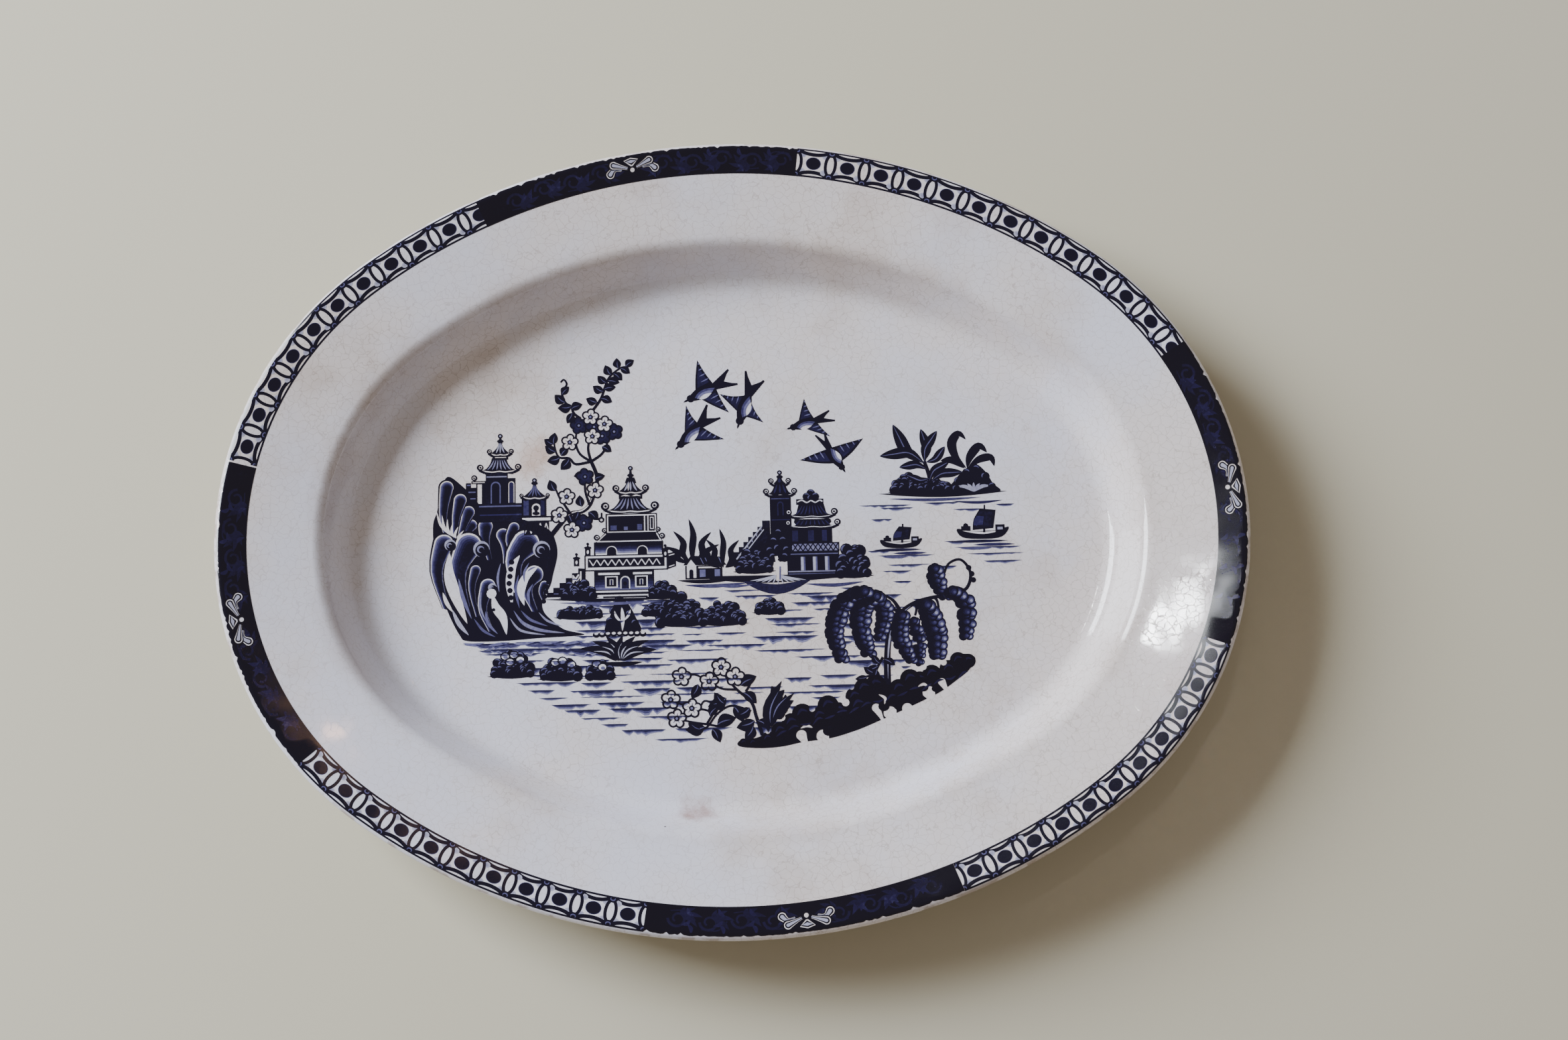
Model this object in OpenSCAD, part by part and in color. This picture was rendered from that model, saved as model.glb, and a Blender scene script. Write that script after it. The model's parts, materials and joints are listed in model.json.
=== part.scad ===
// Oval transfer-printed serving platter, lying on its foot ring.
// +X is the long way, +Z is up, the origin is the middle of the foot's resting plane.

/* [Overall] */
// Overall length over the glaze, mm
plate_l = 420; // [340:10:520]
// Overall width over the glaze, mm (less than the length)
plate_w = 330; // [260:10:410]
// Overall height to the crest of the rim, mm
plate_h = 36; // [28:1:50]

/* [Clay body] */
// Thickness of the clay wall, mm
wall_t = 5; // [4:0.5:8]
// Outer edge to the shoulder where the flange turns down, mm
flange_w = 41.5; // [32:0.5:50]
// Slope of the flange, degrees from level
flange_slope = 11; // [4:1:18]
// Slope of the well wall, degrees from level
well_slope = 60; // [45:1:75]
// Radius of the shoulder between flange and well wall, mm
shoulder_r = 7; // [5.5:0.5:12]
// Radius between well wall and well floor, mm
well_r = 9; // [4:0.5:14]

/* [Foot ring] */
// Height of the foot ring under the body, mm
foot_h = 4.5; // [2:0.5:8]
// Width of the foot ring's section, mm
foot_t = 7; // [4:0.5:12]
// Flat left between the well's outer curve and the foot ring, mm
foot_gap = 3; // [1:0.5:10]

/* [Glaze] */
// Thickness of the glaze on both faces, mm
glaze_t = 0.3; // [0.15:0.05:0.6]

/* [Printed border] */
// Thickness of a laid print, mm
print_t = 0.2; // [0.1:0.05:0.4]
// Inner edge of the border from the outer edge, mm
band_in = 13.4; // [10:0.2:20]
// Gap left where two lengths of border tissue meet, mm
seam = 0.5; // [0.2:0.1:1.5]
// Length of one trellis cell, mm
cell_l = 14; // [10:0.5:20]
// Width of the printed trellis lines, mm
cell_line = 0.7; // [0.4:0.1:1.2]
// Radius of the dot in each trellis cell, mm
cell_dot = 1.5; // [0.8:0.1:2.2]
// Width of the border's edge lines, mm
edge_line = 0.8; // [0.4:0.1:1.4]
// Length of a petal of the panel's palmette, mm
petal_l = 5.2; // [3.5:0.1:6]

/* [Printed scene] */
// Margin kept between the scene and the foot of the well wall, mm
scene_gap = 4; // [1:0.5:15]
// Width of branches, stems and tendrils, mm
stem_w = 1.2; // [0.8:0.1:2]
// Radius of an open blossom, mm
blossom_r = 3.4; // [2.5:0.1:4.5]
// Length of a leaf, mm
leaf_l = 5.5; // [4:0.5:8]
// Width of the ripples on the water, mm
ripple_w = 0.9; // [0.5:0.1:1.4]

/* [Hidden] */
$fn = 96;

// The outline is a four-centre oval set out on a 3-4-5 triangle, so its arcs meet tangent.
half_l = plate_l / 2;
half_w = plate_w / 2;
oval_unit = (half_l - half_w) / 2;
end_x = 3 * oval_unit;
side_y = 4 * oval_unit;
end_r = half_l - end_x;
side_r = half_w + side_y;
turn = 53.130102;
// Lap of the floor's two side sectors past the middle line, mm
slab_lap = 1;

// The wall's section: x is the distance in from the outer edge, y the height.
rim_x = wall_t / 2 + glaze_t;
rim_z = plate_h - wall_t / 2 - glaze_t - print_t;
floor_z = foot_h + wall_t;
tan_f = tan(flange_slope);
tan_w = tan(well_slope);
shoulder_z = rim_z + wall_t / 2 / cos(flange_slope) - (flange_w - rim_x) * tan_f;
wall_foot = flange_w + (shoulder_z - floor_z) / tan_w;
t1 = shoulder_r * tan((well_slope - flange_slope) / 2);
t2 = well_r * tan(well_slope / 2);
c1 = [flange_w - t1 * cos(flange_slope) - shoulder_r * sin(flange_slope),
    shoulder_z + t1 * sin(flange_slope) - shoulder_r * cos(flange_slope)];
c2 = [wall_foot + t2, floor_z + well_r];
floor_d = c2[0];
foot_d = floor_d + foot_gap;
function ray(c, r, t) = [c[0] + r * sin(t), c[1] + r * cos(t)];
function fan(c, r, t0, t1, n) = [for (i = [0:n]) ray(c, r, t0 + (t1 - t0) * i / n)];
function flange_line(off, d) = rim_z + (wall_t / 2 + off) / cos(flange_slope) - (d - rim_x) * tan_f;
// the face, `off` above the clay, from the shoulder in to `stop`
function face(off, stop) = concat(
    fan(c1, shoulder_r + off, flange_slope, well_slope, 10),
    fan(c2, -(well_r - off), well_slope, 0, 10),
    [[stop, floor_z + off]]);
function crest(r, t0) = fan([rim_x, rim_z], r, t0, flange_slope, 9);
function back(list) = [for (i = [len(list) - 1:-1:0]) list[i]];
function flip(list) = [for (p = list) [-p[0], p[1]]];

// arc the outline runs on at normal angle `a`: [centre x, centre y, radius]
function arc_at(a) =
    let (w = ((a % 360) + 360) % 360)
    (w < turn || w > 360 - turn) ? [end_x, 0, end_r] :
    (w <= 180 - turn) ? [0, -side_y, side_r] :
    (w < 180 + turn) ? [-end_x, 0, end_r] : [0, side_y, side_r];
function limit(a) = a < turn ? turn : a < 180 - turn ? 180 - turn :
    a < 180 + turn ? 180 + turn : a < 360 - turn ? 360 - turn : 360 + turn;

// carries a section round the outline from normal angle a0 to a1, inside one arc
module arc_run(a0, a1) {
    arc = arc_at((a0 + a1) / 2);
    translate([arc[0], arc[1], 0])
        rotate([0, 0, a0])
            rotate_extrude(angle = a1 - a0)
                translate([arc[2], 0])
                    children();
}

// carries a section round the whole outline
module all_round() {
    arc_run(-turn, turn) children();
    arc_run(turn, 180 - turn) children();
    arc_run(180 - turn, 180 + turn) children();
    arc_run(180 + turn, 360 - turn) children();
}

// carries a section from a0 to a1 across at most one joint between arcs
module run(a0, a1) {
    mid = limit(a0 + 0.001);
    if (mid < a1 - 0.001) {
        arc_run(a0, mid - 0.01) children();
        arc_run(mid + 0.01, a1) children();
    } else {
        arc_run(a0, a1) children();
    }
}

// flat oval slab, `d` in from the outer edge
module oval_slab(d, z, t) {
    translate([0, 0, z]) {
        for (x = [0, 1])
            mirror([x, 0, 0])
                translate([end_x, 0, 0])
                    rotate([0, 0, -turn])
                        rotate_extrude(angle = 2 * turn)
                            square([end_r - d, t]);
        // each side arc's sector is kept on its own side, a lap past the middle
        for (y = [0, 1])
            mirror([0, y, 0])
                intersection() {
                    translate([0, -side_y, 0])
                        rotate([0, 0, turn])
                            rotate_extrude(angle = 180 - 2 * turn)
                                square([side_r - d, t]);
                    translate([-half_l, -slab_lap, -t])
                        cube([plate_l, half_w + slab_lap, 3 * t]);
                }
    }
}

// ---------- clay ----------
module body() {
    color([0.87, 0.83, 0.76])
    union() {
        all_round()
            polygon(flip(concat(
                fan([rim_x, rim_z], wall_t / 2, flange_slope - 180, flange_slope, 18),
                face(0, foot_d + foot_t),
                back(face(-wall_t, foot_d + foot_t)))));
        oval_slab(foot_d + foot_t, foot_h, wall_t);
    }
}

module foot_ring() {
    color([0.80, 0.72, 0.62])
    union() {
        all_round()
            polygon(flip([[foot_d + 1, 0], [foot_d + foot_t - 1, 0], [foot_d + foot_t, 1],
                [foot_d + foot_t, foot_h], [foot_d, foot_h], [foot_d, 1]]));
        for (a = [turn, 180 - turn, 180 + turn, 360 - turn])
            translate([end_x * sign(cos(a)), 0, foot_h * 0.3])
                rotate([0, 0, a])
                    translate([end_r - foot_d - foot_t + 1, -1, 0])
                        cube([foot_t - 2, 2, foot_h * 0.5]);
    }
}

// ---------- glaze ----------
module face_glaze() {
    color([0.93, 0.93, 0.91])
    union() {
        all_round()
            polygon(flip(concat(
                fan([rim_x, rim_z], wall_t / 2 + glaze_t, -90, flange_slope, 12),
                face(glaze_t, foot_d + foot_t),
                back(face(0, foot_d + foot_t)),
                back(fan([rim_x, rim_z], wall_t / 2, -90, flange_slope, 12)))));
        oval_slab(foot_d + foot_t, floor_z, glaze_t);
    }
}

module back_glaze() {
    color([0.90, 0.90, 0.87])
    {
        all_round()
            polygon(flip(concat(
                back(fan([rim_x, rim_z], wall_t / 2 + glaze_t, flange_slope - 180, -90, 9)),
                face(-wall_t - glaze_t, foot_d),
                back(face(-wall_t, foot_d)),
                fan([rim_x, rim_z], wall_t / 2, flange_slope - 180, -90, 9))));
        oval_slab(foot_d + foot_t, foot_h - glaze_t, glaze_t);
    }
}

// ---------- border ----------
band_t0 = wall_t / 2 + glaze_t;
band_mid = (band_in + rim_x) / 2;
band_w = band_in - rim_x;

module band_section(d0, d1) {
    polygon(flip([[d0, flange_line(glaze_t, d0)], [d1, flange_line(glaze_t, d1)],
        [d1, flange_line(glaze_t + print_t, d1)], [d0, flange_line(glaze_t + print_t, d0)]]));
}

module crest_section() {
    polygon(flip(concat(
        crest(band_t0 + print_t, -30),
        [[band_in, flange_line(glaze_t + print_t, band_in)]],
        [[band_in, flange_line(glaze_t, band_in)]],
        back(crest(band_t0, -30)))));
}

// stands on the flange at normal angle a, inset d: local y outward, z off the face
module on_flange(a, d, lift) {
    arc = arc_at(a);
    translate([arc[0] + (arc[2] - d) * cos(a), arc[1] + (arc[2] - d) * sin(a),
            flange_line(glaze_t, d) + lift])
        rotate([0, 0, a - 90])
            rotate([flange_slope, 0, 0])
                children();
}

// dark panel with a five-petal palmette left open in it
module panel(a0, a1, fan_a) {
    color([0.10, 0.12, 0.36])
    difference() {
        arc_run(a0, a1) crest_section();
        on_flange(fan_a, band_in - 2.2, -2)
            linear_extrude(4) {
                circle(0.9);
                for (t = [-76, -38, 0, 38, 76])
                    rotate(t)
                        translate([0, 1.5 + petal_l / 2])
                            leaf_2d(petal_l, 2.6);
            }
    }
}

module panel_back() { panel(84.6, 113.4, 98.4); }
module panel_right() { panel(-21.7, 30.7, 4.9); }
module panel_front() { panel(262.0, 289.0, 275.6); }
module panel_left() { panel(167.4, 220.0, 194.2); }

// l by w square whose four sides bow in by b
module hollow_square(l, w, b) {
    ends = [for (i = [0:5]) [i / 3 - 1, b * (1 - pow(i / 3 - 1, 2))]];
    polygon(concat(
        [for (e = ends) [e[0] * l / 2, e[1] - w / 2]],
        [for (e = ends) [l / 2 - e[1], e[0] * w / 2]],
        [for (e = ends) [-e[0] * l / 2, w / 2 - e[1]]],
        [for (e = ends) [e[1] - l / 2, -e[0] * w / 2]]));
}

// one trellis cell: four inward-curving lines round a dot
module cell(l) {
    w = band_w - 2 * edge_line - 1.6;
    bow = w * 0.13;
    linear_extrude(print_t) {
        difference() {
            hollow_square(l - 0.4, w, bow);
            hollow_square(l - 0.4 - 2 * cell_line, w - 2 * cell_line, bow);
        }
        circle(cell_dot);
    }
}

module trellis(a0, a1) {
    joint = limit(a0);
    r_a = arc_at(a0 + 1)[2] - band_mid;
    r_b = arc_at(a1 - 1)[2] - band_mid;
    len_a = r_a * (joint - a0) * PI / 180;
    len_b = r_b * (a1 - joint) * PI / 180;
    total = len_a + len_b;
    count = round(total / cell_l);
    step = total / count;
    color([0.20, 0.23, 0.52]) {
        run(a0, a1) band_section(band_in - edge_line, band_in);
        run(a0, a1) band_section(rim_x + 0.8, rim_x + 0.8 + edge_line);
        for (i = [0:count - 1]) {
            s = (i + 0.5) * step;
            a = s < len_a ? a0 + s / r_a * 180 / PI : joint + (s - len_a) / r_b * 180 / PI;
            on_flange(a, band_mid + 0.4, 0.05) cell(step);
        }
    }
}

// seam, turned into an angle on each arc
seam_e = seam / end_r * 180 / PI;
seam_s = seam / side_r * 180 / PI;
module trellis_back_right() { trellis(30.7 + seam_e, 84.6 - seam_s); }
module trellis_back_left() { trellis(113.4 + seam_s, 167.4 - seam_e); }
module trellis_front_left() { trellis(220.0 + seam_e, 262.0 - seam_s); }
module trellis_front_right() { trellis(289.0 + seam_s, 338.3 - seam_e); }

// ---------- scene ----------
// drawn for a well floor 308 by 218 mm, then scaled to the floor there is
scene_s = min((half_l - floor_d - scene_gap) / 148, (half_w - floor_d - scene_gap) / 103);

module ink(c) {
    color(c)
    translate([0, 0, floor_z + glaze_t])
        scale(scene_s)
            linear_extrude(print_t / scene_s)
                children();
}

navy = [0.09, 0.11, 0.34];
cobalt = [0.22, 0.27, 0.58];
pale = [0.45, 0.50, 0.74];

// pointed oval, l long along y and w wide
module leaf_2d(l, w) {
    side = [for (i = [0:7]) [w / 2 * sin(i * 22.5), l / 2 * -cos(i * 22.5)]];
    polygon(concat(side, [for (p = side) -p]));
}

module leaf(x, y, t, l = leaf_l) {
    translate([x, y])
        rotate(t - 90)
            translate([0, l / 2])
                leaf_2d(l, l * 0.42);
}

// line of width w through a list of points
module stroke(p, w = stem_w) {
    n = len(p) - 1;
    side = [for (i = [0:n])
        let (v = p[min(i + 1, n)] - p[max(i - 1, 0)])
        [-v[1], v[0]] / norm(v) * w / 2];
    polygon(concat([for (i = [0:n]) p[i] + side[i]], [for (i = [n:-1:0]) p[i] - side[i]]));
}

// open blossom with a bare heart
module blossom(x, y, r = blossom_r) {
    translate([x, y])
        difference() {
            union() {
                circle(r * 0.55);
                for (i = [0:4])
                    rotate(i * 72 + 18)
                        translate([r * 0.6, 0])
                            circle(r * 0.42);
            }
            circle(r * 0.28);
        }
}

// sweeping roof: half width w at the eaves, top half width u, height h, tips turned up
module roof(x, y, w, u, h) {
    translate([x, y])
        polygon([[-u, h], [u, h], [u + (w - u) * 0.35, h * 0.45], [w, h * 0.12], [w + 1.2, h * 0.5],
            [w + 0.8, -0.4], [w - 1.5, -0.9], [0, -0.3], [1.5 - w, -0.9], [-w - 0.8, -0.4],
            [-w - 1.2, h * 0.5], [-w, h * 0.12], [-u - (w - u) * 0.35, h * 0.45]]);
}

// wall w by h standing on (x, y) with arched openings
module wall(x, y, w, h, openings) {
    difference() {
        translate([x, y]) square([w, h]);
        for (o = openings) {
            translate([x + o[0] - o[1] / 2, y - 0.1]) square([o[1], o[2]]);
            translate([x + o[0], y + o[2] - 0.1]) circle(o[1] / 2);
        }
    }
}

// a clump of round foliage: list of [x, y, r]
module clump(list) {
    for (b = list)
        translate([b[0], b[1]]) circle(b[2]);
}

module print_rock_cliff() {
    ink(navy)
    difference() {
        union() {
            polygon([[-119, 29], [-112, 26], [-106, 17], [-88, 10], [-76, 6], [-73, 0], [-76, -12],
                [-77, -18], [-80, -24], [-80, -30], [-76, -32], [-64, -38.4], [-80, -40], [-111, -40],
                [-117, -30], [-121, -18], [-124, -5], [-123, 12]]);
            clump([[-118, 22, 4], [-120, 10, 4.5], [-119.5, -2, 5], [-117, -14, 5], [-113.5, -26, 5],
                [-110, -35, 5], [-79, -3, 4.5], [-81, -14, 4.5], [-84, -25, 4.5], [-84, -34, 5]]);
        }
        clump([[-108, 8, 2], [-112, -6, 2.4], [-98, 3, 1.8], [-92, -6, 2.6], [-103, -14, 2.2],
            [-94, -20, 2.6], [-108, -24, 1.8], [-99, -31, 2.4], [-88, 2, 1.6], [-89, -30, 1.6]]);
    }
}

module print_cliff_temple() {
    ink(cobalt) {
        translate([-97, 46.8]) circle(1.1);
        roof(-97, 38.2, 4.6, 0.6, 7.6);
        roof(-97, 31.2, 8, 3.2, 6.6);
        wall(-103, 17.5, 13, 13.4, [[4.4, 3.2, 7], [10.3, 2.2, 6.5]]);
        polygon([[-111, 27], [-106.4, 27], [-106.4, 24], [-104, 24], [-104, 21], [-103.2, 21],
            [-103.2, 17.2], [-106, 17.2], [-108, 22]]);
        translate([-105, 10.9]) square([18.2, 6]);
        roof(-82.1, 18.6, 4.6, 0.5, 6.6);
        wall(-86.6, 12, 9, 7, [[4.5, 3, 3]]);
        translate([-87, 9.8]) square([11.6, 1.8]);
    }
}

module print_blossom_branch() {
    ink(cobalt) {
        stroke([[-75.6, 2.9], [-71.4, 8.2], [-67.2, 12.4], [-62.5, 13.6], [-59.2, 16.1], [-56.9, 22.3],
            [-56.2, 28], [-58.4, 34.7], [-58.4, 43], [-57.6, 55], [-54, 62], [-52, 67], [-50, 71.4],
            [-45.7, 75]]);
        stroke([[-58.4, 34.7], [-64.2, 45.7], [-63, 52.6], [-66.6, 58.6], [-69, 70]]);
        stroke([[-58.4, 34.7], [-53.1, 43.4], [-48.8, 47.6]]);
        stroke([[-58.4, 34.7], [-67.6, 36.3], [-73.2, 39.3], [-74, 44]]);
        for (b = [[-58.5, 53.4], [-52.7, 50.6], [-67.3, 43.2], [-68.8, 19.8], [-66.7, 6.2],
                [-63, 50.3], [-48.8, 47.6], [-61, 27.9], [-53, 23]])
            blossom(b[0], b[1]);
        for (l = [[-52.2, 67.1, 20], [-54, 62, 160], [-50.2, 71.4, 170], [-45.7, 75, 30], [-66.6, 58.8, 200],
                [-69, 64, 60], [-73.2, 39.3, 200], [-67.6, 36.3, 250], [-71.5, 11.9, 190],
                [-62.5, 14, 290], [-59, 16.5, 330], [-62, 13.6, 100], [-57, 38, 20]])
            leaf(l[0], l[1], l[2]);
    }
}

module print_pagoda() {
    ink(navy) {
        translate([-41.8, 30.8]) circle(1.1);
        roof(-41.8, 20.6, 5, 0.8, 9.8);
        roof(-42.6, 12.2, 10, 4, 7.8);
        wall(-52.2, 4.2, 20.6, 7.4, [[5, 3, 3.5], [15.6, 3, 3.5]]);
        roof(-42.8, 0.6, 11.8, 9.6, 4);
        wall(-57.5, -5.8, 28.6, 6.2, [[7.2, 4, 3], [18.4, 4.4, 3]]);
        difference() {
            translate([-61.4, -12]) square([34.2, 6.6]);
            for (i = [0:6])
                translate([-59.5 + i * 4.5, -10.6]) square([3.2, 3.4]);
        }
        wall(-61.4, -20.6, 28.8, 8.8, [[11, 4, 5.5], [16.5, 4.6, 4.4], [24, 4, 5.5]]);
        polygon([[-76.8, -22.6], [-61.2, -11], [-61.2, -22.6]]);
        clump([[-66, -18, 2.6], [-69.5, -20.6, 2.6], [-62.5, -20.8, 2.6], [-58.6, -21.6, 2.2],
            [-31, -18.6, 2.4], [-28, -20.6, 2.6], [-34, -21.4, 2.2], [-26.4, -22.6, 1.8]]);
    }
}

module print_hut() {
    ink(cobalt) {
        roof(-12.2, -10.4, 8.6, 2, 4);
        wall(-18.2, -16.2, 12, 5.8, [[3.4, 2.6, 2.2], [8.6, 2.6, 2.2]]);
        for (t = [62, 76, 90, 104, 118])
            leaf(-16.6, -6.4, t, 14 - abs(t - 90) / 7);
    }
}

// a swallow in flight, wings span s, turned by t
module swallow(x, y, t, s) {
    translate([x, y])
        rotate(t)
            scale(s / 24)
                union() {
                    polygon([[-8.5, 0], [-6, 1.6], [-3, 2], [2, 8], [7, 12], [5, 5], [4, 1.2], [13, 4.4],
                        [8, 0.6], [14, -2.4], [4, -1.2], [5, -5], [7, -12], [1, -8], [-3, -2], [-6, -1.4]]);
                }
}

module print_swallows() {
    ink(navy) {
        swallow(-11, 66, 14, 22);
        swallow(7.6, 59, 60, 17);
        swallow(-15, 49, 20, 17);
        swallow(34.6, 51.8, 10, 18);
        swallow(41.6, 37.4, 146, 19);
    }
}

module print_far_pavilion() {
    ink(cobalt) {
        roof(20.3, 22.6, 3.4, 0.5, 5);
        roof(20.3, 18, 6, 2.6, 4);
        wall(15.7, 1.4, 8.6, 16.4, [[4.3, 2.8, 6]]);
        roof(33, 8.6, 8.6, 5, 7);
        roof(34, 3.8, 9.4, 7, 3.8);
        wall(22.6, -2.4, 18, 6, [[4.5, 2.6, 2.4], [9, 2.6, 2.4], [13.5, 2.6, 2.4]]);
        translate([22.4, -5.6]) square([21.6, 2.4]);
        wall(22.6, -17, 21, 10.6, [[3.6, 3, 4.6], [8.2, 3, 4.6], [12.8, 3, 4.6], [17.4, 3, 4.6]]);
        polygon([[15, 7.2], [15, 4], [12, 4], [12, 1], [9, 1], [9, -2], [6, -2], [6, -5], [3, -5],
            [3, -8.5], [0.4, -8.5], [0.4, -11], [15.7, -11], [15.7, 7.2]]);
        clump([[49.6, -5, 3], [46.8, -8, 3], [52.6, -8, 3], [49.6, -10.6, 3], [18.8, -6, 3.2],
            [16.6, -9, 2.6], [21, -9, 2.6]]);
        translate([49, -17.6]) square([1.2, 6]);
        translate([18.2, -20.6]) square([1.2, 10]);
        translate([-12.5, -18.6]) square([70, 2]);
        for (t = [60, 75, 90, 105, 120])
            leaf(-4, -11.6, t, 15 - abs(t - 90) / 6);
    }
}

module print_island() {
    ink(cobalt) {
        translate([62, 17.2]) square([52.4, 1.8]);
        clump([[72, 19.6, 3], [77, 21, 3.4], [83, 22, 4], [90, 21, 3.6], [96, 23, 4.4], [102, 25.4, 4.6],
            [107.4, 20.6, 3.2]]);
        stroke([[83.5, 22.6], [81.2, 31.4]]);
        for (l = [[81.2, 31.4, 134, 19], [81.2, 31.4, 98, 12], [81.2, 31.4, 70, 12], [81.2, 31.4, 36, 9],
                [81.2, 31.4, 166, 16], [83.5, 24, 150, 13], [83.5, 24, 44, 9], [98.6, 27, 104, 14],
                [98.6, 27, 70, 11], [98.6, 27, 34, 10], [98.6, 27, 148, 13]])
            leaf(l[0], l[1], l[2], l[3]);
    }
}

module sail_boat(x, y, w, h) {
    translate([x, y]) {
        polygon([[-w / 2, 0], [w / 2, 0], [w * 0.36, -w * 0.14], [-w * 0.36, -w * 0.14]]);
        translate([-w * 0.03, 0]) square([w * 0.05, h]);
        polygon([[w * 0.06, h * 0.96], [w * 0.28, h * 0.2], [w * 0.06, h * 0.12]]);
        polygon([[-w * 0.07, h * 0.9], [-w * 0.07, h * 0.12], [-w * 0.26, h * 0.24], [-w * 0.2, h * 0.6]]);
    }
}

module print_large_boat() {
    ink(cobalt) sail_boat(104.4, 0, 21.6, 11.6);
}

module print_small_boat() {
    ink(cobalt) sail_boat(70.2, -3, 17.4, 8.4);
}

// a hanging bunch of willow leaf: top (x, y), length l, width w
module bunch(x, y, l, w) {
    for (i = [0:ceil(l / 3.2)]) {
        u = i / ceil(l / 3.2);
        for (j = [-1, 1])
            translate([x + j * w * 0.24 * (1 - u * 0.4), y - l * u + j * 0.7])
                circle(w * 0.3 * (1 - u * u * 0.45));
    }
}

module print_willow() {
    ink(navy) {
        stroke([[62.2, -63.2], [62.8, -47], [63.8, -41.2], [66, -36], [70.8, -32], [76.7, -27.7],
            [83.1, -26.4]], stem_w * 2);
        bunch(44.4, -25, 25, 9.4);
        bunch(56.2, -24.6, 25, 9);
        bunch(68.8, -37, 15.4, 6.8);
        bunch(76.4, -38.6, 15, 5);
        bunch(84, -32, 18, 9.6);
        bunch(86.4, -17, 10.4, 5.6);
        bunch(94.4, -26, 17, 9.4);
        difference() {
            translate([92.6, -18]) circle(7.6);
            translate([93.4, -17.2]) circle(5);
        }
        leaf(58.4, -55, 230, 8);
        leaf(58.4, -55, 120, 7);
    }
}

module print_hedge() {
    ink(navy)
    difference() {
        union() {
            polygon([[98, -46], [98, -54], [80, -63], [56, -73], [32, -80], [4, -86.4], [1, -84], [30, -72],
                [52, -64], [72, -56]]);
            clump([for (i = [0:13]) [97 - i * 6.9, -47.4 - i * 2.8 + 2 * sin(i * 80), 4.6 - i * 0.16]]);
            clump([for (i = [0:9]) [92 - i * 7, -53.6 - i * 2.9, 4.4]]);
        }
        clump([for (i = [0:8]) [90 - i * 8.4, -51.4 - i * 3.3, 1.2]]);
    }
}

module print_flower_spray() {
    ink(cobalt) {
        stroke([[10.8, -82.7], [4, -74], [-1.8, -65], [-5.9, -53.6]]);
        stroke([[-1.8, -65], [-10.9, -59.3], [-22.6, -56.8]]);
        stroke([[1, -69.6], [-8, -70.6], [-18.5, -70], [-26.8, -67.1]]);
        stroke([[-14, -70.4], [-25, -74.3]]);
        stroke([[4, -74], [12, -69], [15, -64.8]]);
        for (b = [[-22.6, -56.8], [-10.9, -59.3], [-5.9, -53.6], [-0.5, -58.7], [-26.8, -67.1],
                [-18.5, -70], [-25, -74.3]])
            blossom(b[0], b[1]);
        for (l = [[-8, -70.6, 240], [-4, -63, 200], [3, -72, 20], [-2, -66, 70],
                [12, -69, 100], [12, -69, 40], [-14, -60.4, 260], [6, -77, 190]])
            leaf(l[0], l[1], l[2], leaf_l * 1.3);
    }
}

module print_bushes() {
    ink(navy) {
        clump([for (i = [0:5]) [-97 + i * 2.9, -49 - i * 1.1 + 1.6 * sin(i * 110), 2.5]]);
        clump([for (i = [0:5]) [-78.6 + i * 2.9, -51.4 - i * 0.7 + 1.7 * sin(i * 107), 2.7]]);
        clump([for (i = [0:3]) [-60 + i * 2.9, -52.6 - i * 0.9 + 1.4 * sin(i * 113), 2.3]]);
        clump([for (i = [0:9]) [-28 + i * 3.2, -27 - i * 1.1 + 1.5 * sin(i * 103), 2.4]]);
        clump([for (i = [0:3]) [-69 + i * 3.3, -25.6 - i * 1.4 + 1.2 * sin(i * 109), 2.3]]);
        translate([-47, -49.6]) circle(1.3);
        for (t = [20, 42, 66, 90, 114, 138, 160])
            leaf(-47 + (90 - t) / 60, -50.2 + abs(t - 90) / 160, t, 14 - abs(t - 90) / 12);
    }
}

// long level ripples; each row is [y, start x, end x, how many]
module print_water() {
    ink(pale)
    for (row = [[-30, -54, 30, 6], [-35, -60, 60, 8], [-41, -30, 50, 6], [-46, -38, 40, 5],
            [12, 58, 116, 4], [7, 60, 96, 3], [-10, 60, 122, 4], [-15, 62, 118, 4],
            [-62, -80, -34, 3], [-58, -46, -30, 1]]) {
        gap = (row[2] - row[1]) / row[3];
        for (i = [0:row[3] - 1])
            translate([row[1] + gap * (i + 0.5), row[0] + 0.8 * sin(i * 130)])
                rotate(-90)
                    leaf_2d(gap * (0.62 + 0.16 * sin(i * 97)), ripple_w);
    }
}

body();
foot_ring();
face_glaze();
back_glaze();
panel_back();
panel_right();
panel_front();
panel_left();
trellis_back_right();
trellis_back_left();
trellis_front_left();
trellis_front_right();
print_rock_cliff();
print_cliff_temple();
print_blossom_branch();
print_pagoda();
print_hut();
print_swallows();
print_far_pavilion();
print_island();
print_large_boat();
print_small_boat();
print_willow();
print_hedge();
print_flower_spray();
print_bushes();
print_water();
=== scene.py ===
import json
import math
import random

import bmesh
import bpy
from mathutils import Matrix, Vector
from mathutils.geometry import delaunay_2d_cdt

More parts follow.
